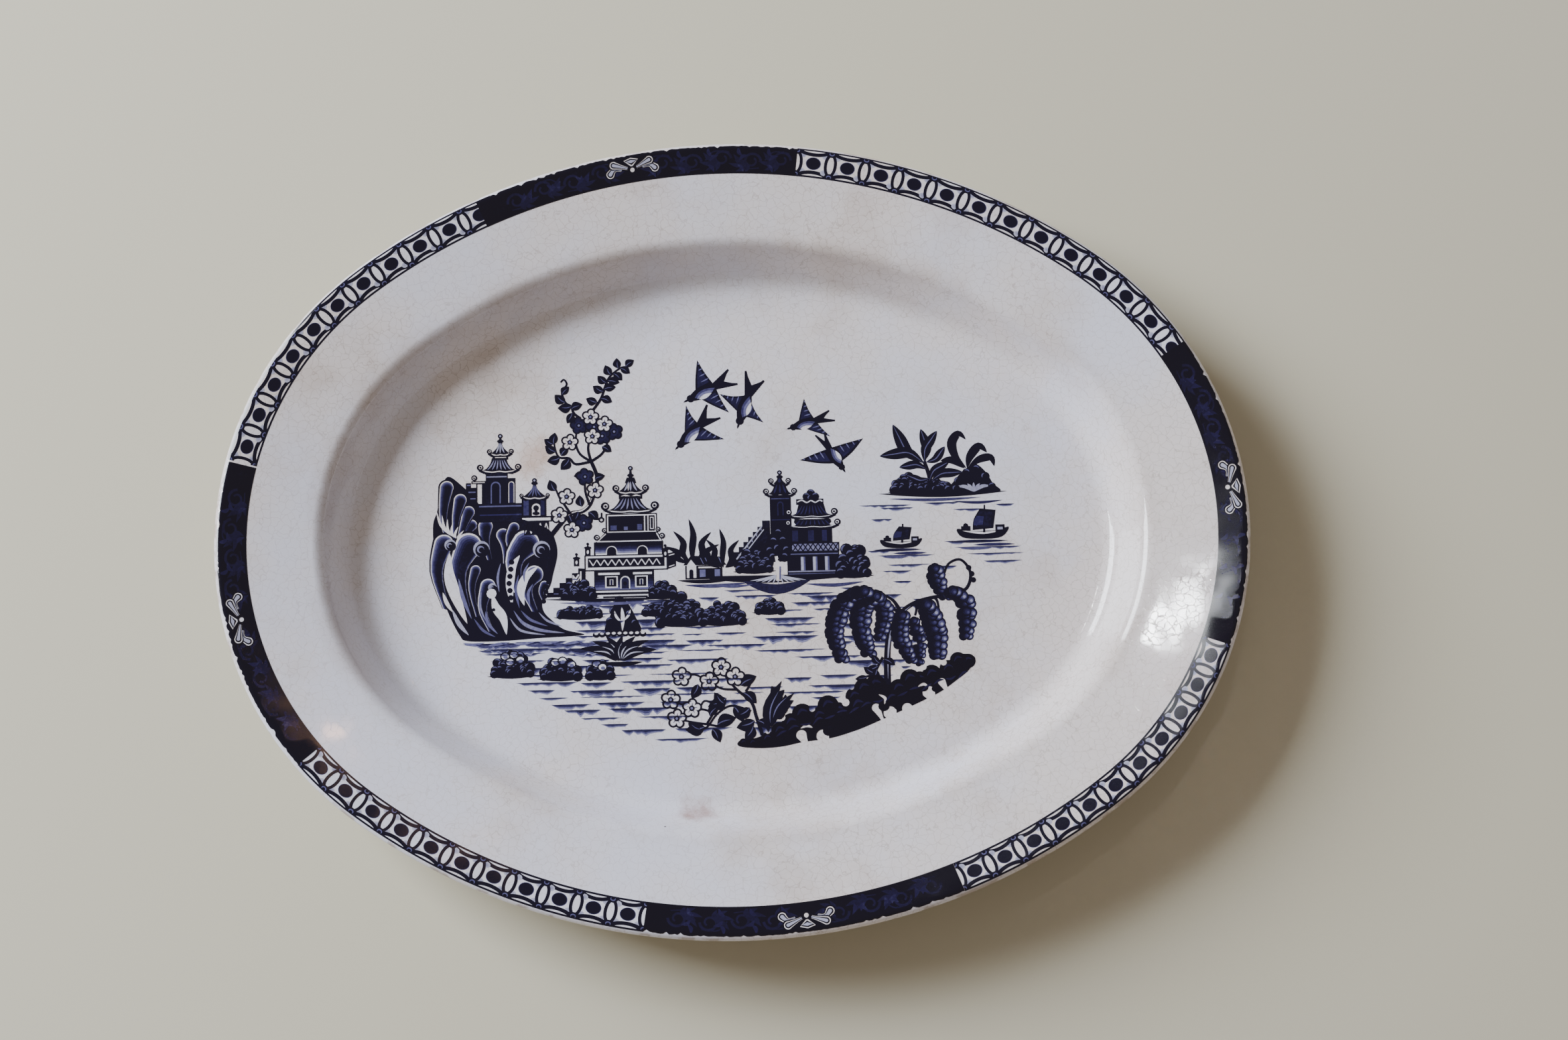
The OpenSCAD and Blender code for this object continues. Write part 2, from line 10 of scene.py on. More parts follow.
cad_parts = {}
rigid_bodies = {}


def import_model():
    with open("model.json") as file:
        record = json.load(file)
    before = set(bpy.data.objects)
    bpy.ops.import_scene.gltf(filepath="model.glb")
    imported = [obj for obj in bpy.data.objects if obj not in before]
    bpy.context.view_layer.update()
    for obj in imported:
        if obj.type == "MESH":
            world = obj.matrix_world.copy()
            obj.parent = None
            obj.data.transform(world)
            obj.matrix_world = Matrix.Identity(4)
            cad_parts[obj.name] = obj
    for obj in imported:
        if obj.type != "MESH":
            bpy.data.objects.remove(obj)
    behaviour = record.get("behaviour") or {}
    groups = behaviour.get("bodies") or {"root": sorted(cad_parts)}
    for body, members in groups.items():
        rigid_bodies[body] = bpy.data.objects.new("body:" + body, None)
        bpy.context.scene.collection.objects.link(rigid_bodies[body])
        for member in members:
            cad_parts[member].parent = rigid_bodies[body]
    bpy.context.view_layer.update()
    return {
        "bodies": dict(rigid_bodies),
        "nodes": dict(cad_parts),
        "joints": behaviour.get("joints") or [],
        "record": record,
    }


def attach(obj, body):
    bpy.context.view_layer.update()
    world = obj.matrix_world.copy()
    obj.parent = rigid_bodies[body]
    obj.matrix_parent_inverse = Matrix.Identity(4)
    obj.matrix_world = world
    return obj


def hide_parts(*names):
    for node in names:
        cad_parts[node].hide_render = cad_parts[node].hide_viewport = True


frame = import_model()

# ---------------------------------------------------------------- clay body
# Earthenware dish pressed over a mould and fired once to biscuit: a sloping flange, a short
# steep well wall and a flat oval floor, all of one even thickness with a rounded rim.
# Lengths here are millimetres, and become metres where a mesh is made.
LENGTH, WIDTH, HEIGHT = 420.0, 330.0, 36.0
WALL, GLAZE, PRINT = 5.0, 0.3, 0.2
FLANGE, FLANGE_SLOPE, WELL_SLOPE = 41.5, math.radians(11), math.radians(60)
SHOULDER_R, WELL_R = 7.0, 9.0
FOOT_H, FOOT_W, FOOT_GAP = 4.5, 7.0, 3.0
MM = 0.001

unit = (LENGTH - WIDTH) / 4
END_X, SIDE_Y = 3 * unit, 4 * unit
END_R, SIDE_R = LENGTH / 2 - END_X, WIDTH / 2 + SIDE_Y
TURN = math.atan2(4, 3)
ARC_ENDS = (-TURN, TURN, math.pi - TURN, math.pi + TURN, 2 * math.pi - TURN)
RIM = (WALL / 2 + GLAZE, HEIGHT - WALL / 2 - GLAZE - PRINT)
FLOOR_Z = FOOT_H + WALL
shoulder_z = RIM[1] + WALL / 2 / math.cos(FLANGE_SLOPE) - (FLANGE - RIM[0]) * math.tan(FLANGE_SLOPE)
wall_foot = FLANGE + (shoulder_z - FLOOR_Z) / math.tan(WELL_SLOPE)
cut1 = SHOULDER_R * math.tan((WELL_SLOPE - FLANGE_SLOPE) / 2)
SHOULDER = (FLANGE - cut1 * math.cos(FLANGE_SLOPE) - SHOULDER_R * math.sin(FLANGE_SLOPE),
            shoulder_z + cut1 * math.sin(FLANGE_SLOPE) - SHOULDER_R * math.cos(FLANGE_SLOPE))
WELL = (wall_foot + WELL_R * math.tan(WELL_SLOPE / 2), FLOOR_Z + WELL_R)
FLOOR_D = WELL[0]
FOOT_D = FLOOR_D + FOOT_GAP


def bend(centre, r, t0, t1, n):
    """Points of a section's arc, angles from straight up."""
    return [(centre[0] + r * math.sin(t0 + (t1 - t0) * i / n),
             centre[1] + r * math.cos(t0 + (t1 - t0) * i / n)) for i in range(n + 1)]


def face_line(off, stop):
    """The face, off above the clay, from the flange in to stop."""
    top = bend(SHOULDER, SHOULDER_R + off, FLANGE_SLOPE, WELL_SLOPE, 12)
    x0 = RIM[0] + (WALL / 2 + off) * math.sin(FLANGE_SLOPE)
    z0 = RIM[1] + (WALL / 2 + off) * math.cos(FLANGE_SLOPE)
    flange = [(x0 + (top[0][0] - x0) * i / 8, z0 + (top[0][1] - z0) * i / 8) for i in range(8)]
    return flange + top + bend(WELL, off - WELL_R, WELL_SLOPE, 0, 12) + [(stop, FLOOR_Z + off)]


def arc_at(a):
    """Centre and radius of the outline's arc where its normal has angle a."""
    a = (a + math.pi) % (2 * math.pi) - math.pi
    if abs(a) <= TURN:
        return END_X, 0.0, END_R
    if abs(a) >= math.pi - TURN:
        return -END_X, 0.0, END_R
    return 0.0, -SIDE_Y if a > 0 else SIDE_Y, SIDE_R


def outline():
    """Stations round the oval: (arc centre x, y, radius, cos, sin)."""
    out = []
    for lo, hi, n in zip(ARC_ENDS, ARC_ENDS[1:], (96, 116, 96, 116)):
        cx, cy, r = arc_at((lo + hi) / 2)
        for j in range(n):
            a = lo + (hi - lo) * j / n
            out.append((cx, cy, r, math.cos(a), math.sin(a)))
    return out


STATIONS = outline()


def make(name, verts, faces, sharp=35):
    """A mesh object from millimetre points, normals outward, smooth under the sharp angle."""
    mesh = bpy.data.meshes.new(name)
    mesh.from_pydata([(x * MM, y * MM, z * MM) for x, y, z in verts], [], faces)
    mesh.polygons.foreach_set("use_smooth", [True] * len(mesh.polygons))
    obj = bpy.data.objects.new(name, mesh)
    bpy.context.scene.collection.objects.link(obj)
    if sharp:
        bm = bmesh.new()
        bm.from_mesh(mesh)
        bmesh.ops.recalc_face_normals(bm, faces=bm.faces)
        bm.to_mesh(mesh)
        bm.free()
        mesh.set_sharp_from_angle(angle=math.radians(sharp))
    return obj


def sweep(name, section, to_centre):
    """Carries a section round the oval. to_centre fills the flat floor between its two ends."""
    n, m = len(STATIONS), len(section)
    verts = [(cx + (r - d) * c, cy + (r - d) * s, z) for cx, cy, r, c, s in STATIONS for d, z in section]
    faces = []
    for i in range(n):
        k = (i + 1) % n
        for j in range(m if not to_centre else m - 1):
            l = (j + 1) % m
            faces.append((i * m + j, k * m + j, k * m + l, i * m + l))
    if to_centre:
        faces += [[i * m for i in range(n)], [i * m + m - 1 for i in reversed(range(n))]]
    obj = make(name, verts, faces)
    inset = obj.data.attributes.new("inset", "FLOAT", "POINT")
    inset.data.foreach_set("value", [d for _ in range(n) for d, z in section])
    return obj


def wear(obj, node, material):
    """Hands a finished piece to the frame."""
    obj.data.materials.clear()
    obj.data.materials.append(material)
    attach(obj, "root")
    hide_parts(node)


def rgb(code):
    """Linear colour of an sRGB hex code."""
    parts = [int(code[i:i + 2], 16) / 255 for i in (1, 3, 5)]
    return [p / 12.92 if p < 0.04045 else ((p + 0.055) / 1.055) ** 2.4 for p in parts] + [1.0]


def add(tree, kind, inputs=None, **settings):
    """Adds a node: settings are its properties, inputs its sockets' values or links."""
    n = tree.nodes.new(kind)
    for key, value in settings.items():
        setattr(n, key, value)
    for key, value in (inputs or {}).items():
        if isinstance(value, bpy.types.NodeSocket):
            tree.links.new(value, n.inputs[key])
        else:
            n.inputs[key].default_value = value
    return n


def finish_as(name):
    """A new material with an empty tree and its Principled shader."""
    mat = bpy.data.materials.new(name)
    mat.use_nodes = True
    tree = mat.node_tree
    tree.nodes.clear()
    shader = add(tree, "ShaderNodeBsdfPrincipled")
    add(tree, "ShaderNodeOutputMaterial", {"Surface": shader.outputs[0]})
    return mat, tree, shader


def blend(tree, fac, a, b):
    """Colour a going to b with fac."""
    return add(tree, "ShaderNodeMix", {"Factor": fac, 6: a, 7: b}, data_type="RGBA").outputs[2]


def sums(tree, operation, *values):
    """Result of one Math node."""
    return add(tree, "ShaderNodeMath", dict(enumerate(values)), operation=operation).outputs[0]


def noise(tree, place, scale, detail=2.0, roughness=0.5):
    """Grey noise with scale bumps to the metre."""
    inputs = {"Vector": place, "Scale": scale, "Detail": detail, "Roughness": roughness}
    return add(tree, "ShaderNodeTexNoise", inputs).outputs[0]


def ramp(tree, value, low, high, to_low=0.0, to_high=1.0):
    """Eases value from low..high on to to_low..to_high."""
    n = add(tree, "ShaderNodeMapRange", {0: value, 1: low, 2: high, 3: to_low, 4: to_high},
            interpolation_type="SMOOTHSTEP")
    return n.outputs[0]


def bumpy(tree, shader, height, strength, distance):
    """Relief of the given height on the shader's surface."""
    inputs = {"Height": height, "Strength": strength, "Distance": distance}
    tree.links.new(add(tree, "ShaderNodeBump", inputs).outputs[0], shader.inputs["Normal"])


biscuit, tree, shader = finish_as("unglazed_earthenware_biscuit")
place = add(tree, "ShaderNodeTexCoord").outputs["Object"]
grain = noise(tree, place, 900.0, 3.0)
patch = noise(tree, place, 35.0, 2.0)
tone = blend(tree, ramp(tree, patch, 0.35, 0.7), rgb("#cbb79b"), rgb("#a98d6c"))
tree.links.new(blend(tree, ramp(tree, grain, 0.6, 0.75, 0.0, 0.5), tone, rgb("#8a6f52")),
               shader.inputs["Base Color"])
shader.inputs["Roughness"].default_value = 0.85
bumpy(tree, shader, grain, 0.3, 0.0001)

rim_round = bend(RIM, WALL / 2, FLANGE_SLOPE - math.pi, FLANGE_SLOPE, 20)
body = sweep("clay_body", list(reversed(face_line(-WALL, FOOT_D)))[:-1] + rim_round
             + face_line(0, FOOT_D)[1:], True)
wear(body, "body", biscuit)

# ---------------------------------------------------------------- foot ring
# Low oval foot under the floor of the well, its resting edge wiped bare of glaze so the dish
# doesn't stick to the kiln shelf; the corners are worn round.
FOOT_CORNER = 1.2
turns = [(math.cos(t), math.sin(t)) for t in (0, 0.5, 1.05, 1.57)]
foot_section = [(FOOT_D, FOOT_H)]
foot_section += [(FOOT_D + FOOT_CORNER * (1 - c), FOOT_CORNER * (1 - s)) for c, s in turns]
foot_section += [(FOOT_D + FOOT_W - FOOT_CORNER * (1 - s), FOOT_CORNER * (1 - c)) for c, s in turns]
foot_section += [(FOOT_D + FOOT_W, FOOT_H)]
foot = sweep("foot_rim", foot_section, False)
wear(foot, "foot_ring", biscuit)

# ---------------------------------------------------------------- glaze
# Clear lead glaze over a bluish-white ground, dipped over the whole dish. A century of hot food
# has crazed it into cells about 3 mm across and let fat and tea stain the clay beneath.
CRAZE_CELL, STAIN_SIZE = 0.0032, 0.11
GLAZE_IOR = 1.52
GLAZE_SWELL = (55.0, 1.0)
GLAZE_BUMP = (0.35, 0.00035)
# inset and reach of the band of stain and painted shade round the shoulder
SHOULDER_STAIN_AND_SHADE = (41.0, 9.0)
SPILLS = ((-84, 37, 9, 0.55, "#b98f74"), (-17, -113, 8, 0.75, "#9a6a58"))


def aged_glaze(name, cool, warm, stain_and_shade_strength):
    """Crazed, stained and worn glaze whose ground runs from cool to warm, with shade painted into the crease
    at its shoulder.
    """
    mat, tree, shader = finish_as(name)
    place = add(tree, "ShaderNodeTexCoord").outputs["Object"]
    inset = add(tree, "ShaderNodeAttribute", attribute_name="inset").outputs["Fac"]
    cloud = noise(tree, place, 1 / STAIN_SIZE, 5.0, 0.6)
    fine = noise(tree, place, 120.0, 4.0)
    colour = blend(tree, ramp(tree, cloud, 0.36, 0.66), rgb(cool), rgb(warm))
    # real stain and painted shade gather where the flange turns down into the well, and along its foot
    near = sums(tree, "ABSOLUTE", sums(tree, "SUBTRACT", inset, SHOULDER_STAIN_AND_SHADE[0]))
    shoulder = ramp(tree, near, SHOULDER_STAIN_AND_SHADE[1], 0.0)
    blotch = noise(tree, place, 26.0, 6.0, 0.65)
    stain_and_shade = sums(tree, "MULTIPLY", ramp(tree, blotch, 0.48, 0.72), ramp(tree, cloud, 0.35, 0.6))
    on_shoulder = sums(tree, "MULTIPLY", shoulder, ramp(tree, blotch, 0.38, 0.62))
    stain_and_shade = sums(tree, "MAXIMUM", stain_and_shade, on_shoulder)
    stain_and_shade = sums(tree, "MULTIPLY", stain_and_shade, stain_and_shade_strength)
    # one brown paints both the stains and the shade in the shoulder's crease
    colour = blend(tree, stain_and_shade, colour, rgb("#a08568"))
    # two old spill marks
    for x, y, r, strength, code in SPILLS:
        spot = {0: place, 1: (x * MM, y * MM, 0.012)}
        away = add(tree, "ShaderNodeVectorMath", spot, operation="DISTANCE").outputs["Value"]
        ragged = sums(tree, "MULTIPLY_ADD", fine, r * MM * 1.6, away)
        mark = ramp(tree, ragged, r * MM * 2.1, r * MM * 1.1, 0.0, strength)
        speckled = sums(tree, "MULTIPLY", mark, ramp(tree, blotch, 0.35, 0.6))
        colour = blend(tree, speckled, colour, rgb(code))
    # crazing: hairlines that hold a little brown
    shake = add(tree, "ShaderNodeTexNoise", {"Vector": place, "Scale": 260.0}).outputs["Color"]
    wobble = add(tree, "ShaderNodeMix", {"Factor": 0.0035, 4: place, 5: shake},
                 data_type="VECTOR").outputs[1]
    cells = add(tree, "ShaderNodeTexVoronoi", {"Vector": wobble, "Scale": 1 / CRAZE_CELL},
                feature="DISTANCE_TO_EDGE")
    hair = ramp(tree, cells.outputs["Distance"], 0.05, 0.0)
    shown = sums(tree, "MULTIPLY", hair, ramp(tree, cloud, 0.3, 0.65, 0.14, 0.34))
    colour = blend(tree, shown, colour, rgb("#7c6650"))
    # iron specks in the clay
    speck = add(tree, "ShaderNodeTexVoronoi", {"Vector": place, "Scale": 42.0})
    small = ramp(tree, speck.outputs["Distance"], 0.024, 0.012)
    chosen = add(tree, "ShaderNodeSeparateColor", {0: speck.outputs["Color"]}).outputs[0]
    dots = sums(tree, "MULTIPLY", small, ramp(tree, chosen, 0.6, 0.75))
    colour = blend(tree, dots, colour, rgb("#3b322c"))
    # the rim's crest is rubbed and browned
    rim_band = ramp(tree, inset, 1.6, 0.4)
    rubbed = sums(tree, "MULTIPLY", rim_band, ramp(tree, fine, 0.5, 0.62, 0.0, 0.6))
    colour = blend(tree, rubbed, colour, rgb("#8d7358"))
    tree.links.new(colour, shader.inputs["Base Color"])
    shader.inputs["IOR"].default_value = GLAZE_IOR
    tree.links.new(ramp(tree, blotch, 0.3, 0.7, 0.045, 0.08), shader.inputs["Roughness"])
    rise = sums(tree, "MULTIPLY_ADD", hair, -0.06, noise(tree, place, *GLAZE_SWELL))
    bumpy(tree, shader, rise, *GLAZE_BUMP)
    return mat


face_glaze = aged_glaze("crazed_bluish_glaze", "#e2e2f0", "#e6dddc", 0.26)
back_glaze = aged_glaze("crazed_glaze_back", "#d9d6cf", "#cbbfae", 0.5)
outer = bend(RIM, WALL / 2 + GLAZE, -math.pi / 2, FLANGE_SLOPE, 14)
inner = bend(RIM, WALL / 2, -math.pi / 2, FLANGE_SLOPE, 14)
face = sweep("glaze_face", list(reversed(inner + face_line(0, FOOT_D)[1:])) + outer
             + face_line(GLAZE, FOOT_D)[1:], True)
wear(face, "face_glaze", face_glaze)
outer = bend(RIM, WALL / 2 + GLAZE, FLANGE_SLOPE - math.pi, -math.pi / 2, 12)
inner = bend(RIM, WALL / 2, FLANGE_SLOPE - math.pi, -math.pi / 2, 12)
back = sweep("glaze_back", list(reversed(face_line(-WALL - GLAZE, FOOT_D)))[:-1] + outer
             + list(reversed(inner)) + face_line(-WALL, FOOT_D)[1:], True)
wear(back, "back_glaze", back_glaze)

# ---------------------------------------------------------------- border panels
# Cobalt printed from an engraved copper plate on to tissue and rubbed down on the flange in
# lengths. The four dark panels have leaf scrolls picked out in a lighter blue and a bare palmette.
BAND_IN, BAND_W = 13.2, 12.0
BAND_MID = BAND_IN - BAND_W / 2 * math.cos(FLANGE_SLOPE)
FILM = 0.03
CREST_Y = (BAND_IN - RIM[0] - (WALL / 2 + GLAZE) * math.sin(FLANGE_SLOPE)) / math.cos(FLANGE_SLOPE)


def spline(a, b, c, d, t):
    """Point at t on the smooth line from b to c."""
    return tuple(0.5 * (2 * q + (r - p) * t + (2 * p - 5 * q + 4 * r - s) * t * t
                        + (3 * q - p - 3 * r + s) * t ** 3) for p, q, r, s in zip(a, b, c, d))


def curve(points, steps=6):
    """Smooth line through points."""
    p = [points[0]] + list(points) + [points[-1]]
    return [spline(*p[i:i + 4], k / steps) for i in range(len(p) - 3)
            for k in range(steps)] + [tuple(points[-1])]


def swell(line, half):
    """Outline of a line whose half width at fraction u along it is half(u)."""
    last = len(line) - 1
    left, right = [], []
    for i, (x, y) in enumerate(line):
        a, b = line[max(i - 1, 0)], line[min(i + 1, last)]
        dx, dy = b[0] - a[0], b[1] - a[1]
        size = math.hypot(dx, dy) or 1.0
        h = max(half(i / last), 0.03)
        left.append((x - dy / size * h, y + dx / size * h))
        right.append((x + dy / size * h, y - dx / size * h))
    return right + left[::-1]


def ribbon(points, w0, w1=None):
    """Outline of a line that goes from width w0 to w1."""
    w1 = w0 if w1 is None else w1
    return swell(points, lambda u: (w0 + (w1 - w0) * u) / 2)


def lengths(line):
    """Distance along line to each of its points."""
    run = [0.0]
    for a, b in zip(line, line[1:]):
        run.append(run[-1] + math.dist(a, b))
    return run


def petal(points, width, root=0.3, trim=0.0):
    """Round-ended shape widening along points to a half-round head, drawn in by trim."""
    line = curve(points, 6)
    run = lengths(line)
    full = run[-1] - trim
    cap = min(0.6, width / 2 / full)
    path, half = [], []
    for i in range(15):
        turn = (i - 7) / 7 * math.pi / 2
        u = (1 - cap) * i / 7 if i < 8 else 1 - cap + cap * math.sin(turn)
        k = max(j for j in range(len(line) - 1) if run[j] <= u * full + 1e-6)
        t = (u * full - run[k]) / (run[k + 1] - run[k])
        path.append(tuple(p + (q - p) * t for p, q in zip(line[k], line[k + 1])))
        half.append(width / 2 * (root + (1 - root) * (i / 7) ** 1.5 if i < 8 else math.cos(turn)))
    return swell(path, lambda u: half[round(u * 14)])


def disc(x, y, rx, ry=None, n=18, t0=0.0, t1=2 * math.pi):
    """Circle, oval or arc of n points."""
    ry = rx if ry is None else ry
    whole = abs(t1 - t0 - 2 * math.pi) < 1e-6
    return [(x + rx * math.cos(t0 + (t1 - t0) * i / (n if whole else n - 1)),
             y + ry * math.sin(t0 + (t1 - t0) * i / (n if whole else n - 1))) for i in range(n)]


def leaf(x, y, angle, length, width, sway=0.0, n=7):
    """Pointed leaf from its stalk at (x, y), bending by sway of its length."""
    a = math.radians(angle)
    ca, sa = math.cos(a), math.sin(a)
    left, right = [], []
    for i in range(n + 1):
        u = i / n
        h = width / 2 * math.sin(math.pi * u ** 0.85) ** 0.9 if 0 < i < n else 0.02
        mid = sway * length * math.sin(math.pi * u) * (1 - 0.3 * u)
        left.append((length * u, mid + h))
        right.append((length * u, mid - h))
    return [(x + px * ca - py * sa, y + px * sa + py * ca) for px, py in right + left[::-1]]


def press(shapes, clip=None, grid=()):
    """Lays shapes over one another, the last on top, and returns the printed film as flat
    (vertices, faces, tones). A shape is (tone, outline); tone 0 leaves the glaze bare."""
    points, edges, faces, tones = [], [], [], []
    for tone, shape in ([(0.0, clip)] if clip else []) + list(shapes):
        start = len(points)
        area = sum(p[0] * q[1] - q[0] * p[1] for p, q in zip(shape, shape[1:] + shape[:1]))
        points += [Vector(p) for p in (shape if area > 0 else shape[::-1])]
        faces.append(list(range(start, len(points))))
        tones.append(tone)
    for a, b in grid:
        edges.append((len(points), len(points) + 1))
        points += [Vector(a), Vector(b)]
    flat, _, tris, _, _, origin = delaunay_2d_cdt(points, edges, faces, 1 if not grid else 0, 1e-4)
    kept = []
    for tri, ids in zip(tris, origin):
        if not ids or (clip and 0 not in ids) or tones[max(ids)] <= 0:
            continue
        a, b, c = (flat[i] for i in tri[:3])
        turn = (b.x - a.x) * (c.y - a.y) - (b.y - a.y) * (c.x - a.x)
        kept.append((list(tri) if turn > 0 else list(reversed(tri)), tones[max(ids)]))
    # corners that meet across an edge are one point; areas that only touch stay apart
    sides = {(tri[k], tri[(k + 1) % 3]): f for f, (tri, _) in enumerate(kept) for k in range(3)}
    same = {(f, i): (f, i) for f, (tri, _) in enumerate(kept) for i in tri}

    def root(key):
        while same[key] != key:
            same[key] = same[same[key]]
            key = same[key]
        return key

    for (a, b), f in sides.items():
        if (b, a) in sides:
            g = sides[(b, a)]
            same[root((f, a))] = root((g, a))
            same[root((f, b))] = root((g, b))
    number = {key: k for k, key in enumerate(sorted({root(key) for key in same}))}
    n = len(number)
    verts = [(flat[i].x, flat[i].y, z) for z in (FILM, 0.0) for _, i in number]
    out, shades = [], []
    for f, (tri, tone) in enumerate(kept):
        t = [number[root((f, i))] for i in tri]
        out += [t, [i + n for i in reversed(t)]]
        shades += [tone, tone]
        for k in range(3):
            if (tri[(k + 1) % 3], tri[k]) not in sides:
                a, b = t[k], t[(k + 1) % 3]
                out.append([b, a, a + n, b + n])
                shades.append(tone)
    return verts, out, shades


def film(name, pressed, wrap):
    """A print film as a closed mesh, its flat points carried on to the dish by wrap."""
    verts, faces, shades = pressed
    obj = make(name, [wrap(*v) for v in verts], faces, sharp=None)
    obj.data.set_sharp_from_angle(angle=math.radians(30))
    tone = obj.data.attributes.new("tone", "FLOAT", "FACE")
    tone.data.foreach_set("value", shades)
    return obj


def on_border(start, lift=0.01):
    """Carries (x clockwise along the band from angle start, y outward, h off the glaze)."""
    def wrap(x, y, h):
        a, left = math.radians(start) % (2 * math.pi), x
        for _ in range(4):
            cx, cy, r = arc_at(a - 1e-6 if left >= 0 else a + 1e-6)
            rest = (a - 1e-9) % (2 * math.pi)
            edge = max(e for e in ARC_ENDS if e < rest - 1e-7)
            room = (a - edge) * (r - BAND_MID)
            if left <= room:
                a -= left / (r - BAND_MID)
                break
            left -= room
            a = edge
        if y <= CREST_Y:
            tilt = FLANGE_SLOPE
            d = BAND_IN - y * math.cos(tilt)
            z = RIM[1] + (WALL / 2 + GLAZE) / math.cos(tilt) - (d - RIM[0]) * math.tan(tilt)
        else:
            tilt = FLANGE_SLOPE - (y - CREST_Y) / (WALL / 2 + GLAZE)
            d = RIM[0] + (WALL / 2 + GLAZE) * math.sin(tilt)
            z = RIM[1] + (WALL / 2 + GLAZE) * math.cos(tilt)
        d += math.sin(tilt) * (h + lift)
        return cx + (r - d) * math.cos(a), cy + (r - d) * math.sin(a), z + math.cos(tilt) * (h + lift)
    return wrap


def band_length(start, stop):
    """Length of the band's middle line from angle start clockwise to stop, in degrees."""
    total, steps = 0.0, 400
    for i in range(steps):
        a = math.radians(start + (stop - start) * (i + 0.5) / steps)
        total += (arc_at(a)[2] - BAND_MID) * math.radians(abs(start - stop)) / steps
    return total


def band_grid(length):
    """Lines that let a flat film follow the band's curves."""
    n = max(2, round(length / 3.0))
    grid = [((length * i / n, -0.5), (length * i / n, BAND_W + 1.2)) for i in range(n + 1)]
    return grid + [((-1, y), (length + 1, y)) for y in (CREST_Y, CREST_Y + 0.6, CREST_Y + 1.2)]


def print_finish(name, dark, mid, pale, wash):
    """Cobalt under glaze: its tone attribute runs from 0, a pale wash, to 1, the full line."""
    mat, tree, shader = finish_as(name)
    place = add(tree, "ShaderNodeTexCoord").outputs["Object"]
    tone = add(tree, "ShaderNodeAttribute", attribute_name="tone").outputs["Fac"]
    mottle = noise(tree, place, 900.0, 3.0)
    uneven = noise(tree, place, 160.0, 3.0)
    shift = sums(tree, "ADD", mottle, uneven)
    shift = sums(tree, "MULTIPLY_ADD", shift, 0.22, -0.22)
    level = sums(tree, "ADD", tone, shift)
    stops = add(tree, "ShaderNodeValToRGB", {"Fac": level})
    points = stops.color_ramp.elements
    points[0].position, points[0].color = 0.08, rgb(wash)
    points[1].position, points[1].color = 0.95, rgb(dark)
    for where, code in ((0.38, pale), (0.68, mid)):
        points.new(where).color = rgb(code)
    tree.links.new(stops.outputs[0], shader.inputs["Base Color"])
    shader.inputs["IOR"].default_value = GLAZE_IOR
    shader.inputs["Roughness"].default_value = 0.1
    bumpy(tree, shader, noise(tree, place, *GLAZE_SWELL), *GLAZE_BUMP)
    return mat


dark_cobalt = print_finish("dark_underglaze_cobalt", "#090719", "#1a163c", "#55547e", "#a8a8c0")
cobalt = print_finish("underglaze_cobalt_line", "#0b0920", "#262350", "#66658f", "#b0b0c6")
pale_cobalt = print_finish("pale_cobalt_wash", "#12102e", "#2e2d5a", "#706f98", "#b4b4ca")


def scroll(x, y, r, turn, tone):
    """A leaf scroll: a coil with leaves springing from its back."""
    coil = [(x + turn * (r * (1 - 0.62 * i / 20)) * math.cos(i * 0.36),
             y + (r * (1 - 0.62 * i / 20)) * 0.9 * math.sin(i * 0.36)) for i in range(21)]
    out = [(tone, ribbon(coil, 1.1, 0.8))]
    for angle, length in ((150, 6.4), (185, 7.6), (222, 6.6), (262, 5.0)):
        a = angle if turn > 0 else 180 - angle
        out.append((tone, leaf(x - turn * r * 0.6, y - 0.1 * r, a, length, 1.9, 0.2 * turn)))
    return out


def palmette(x, y):
    """A small bead under a flared petal, two bare petals curving away on either side."""
    out = []
    for side in (-1, 1):
        for points, width in (([(4.4, 0.5), (7.6, 1.2), (10.6, -1.8)], 3.5),
                              ([(1.9, 0.8), (5.6, 2.3), (9.0, 3.7)], 3.3)):
            path = [(x + side * px, y + py) for px, py in points]
            for tone, g in ((1.0, 0.55), (0.0, 0.0), (1.0, -0.45), (0.05, -1.0)):
                out.append((tone, petal(path, width + 2 * g, 0.36, -g)))
    for tone, g in ((1.0, 0.5), (0.0, 0.0), (1.0, -0.45), (0.05, -1.0)):
        foot, side, top = (0.4 + g, y + 1.5 - g), (3.1 + g, y + 4.2 + g * 0.6), y + 5.1 + g
        out.append((tone, [(x - foot[0], foot[1]), (x + foot[0], foot[1]), (x + side[0], side[1]), (x, top),
                           (x - side[0], side[1])]))
    return out + [(1.0, disc(x, y - 0.1, 1.4)), (0.0, disc(x, y - 0.1, 0.95))]


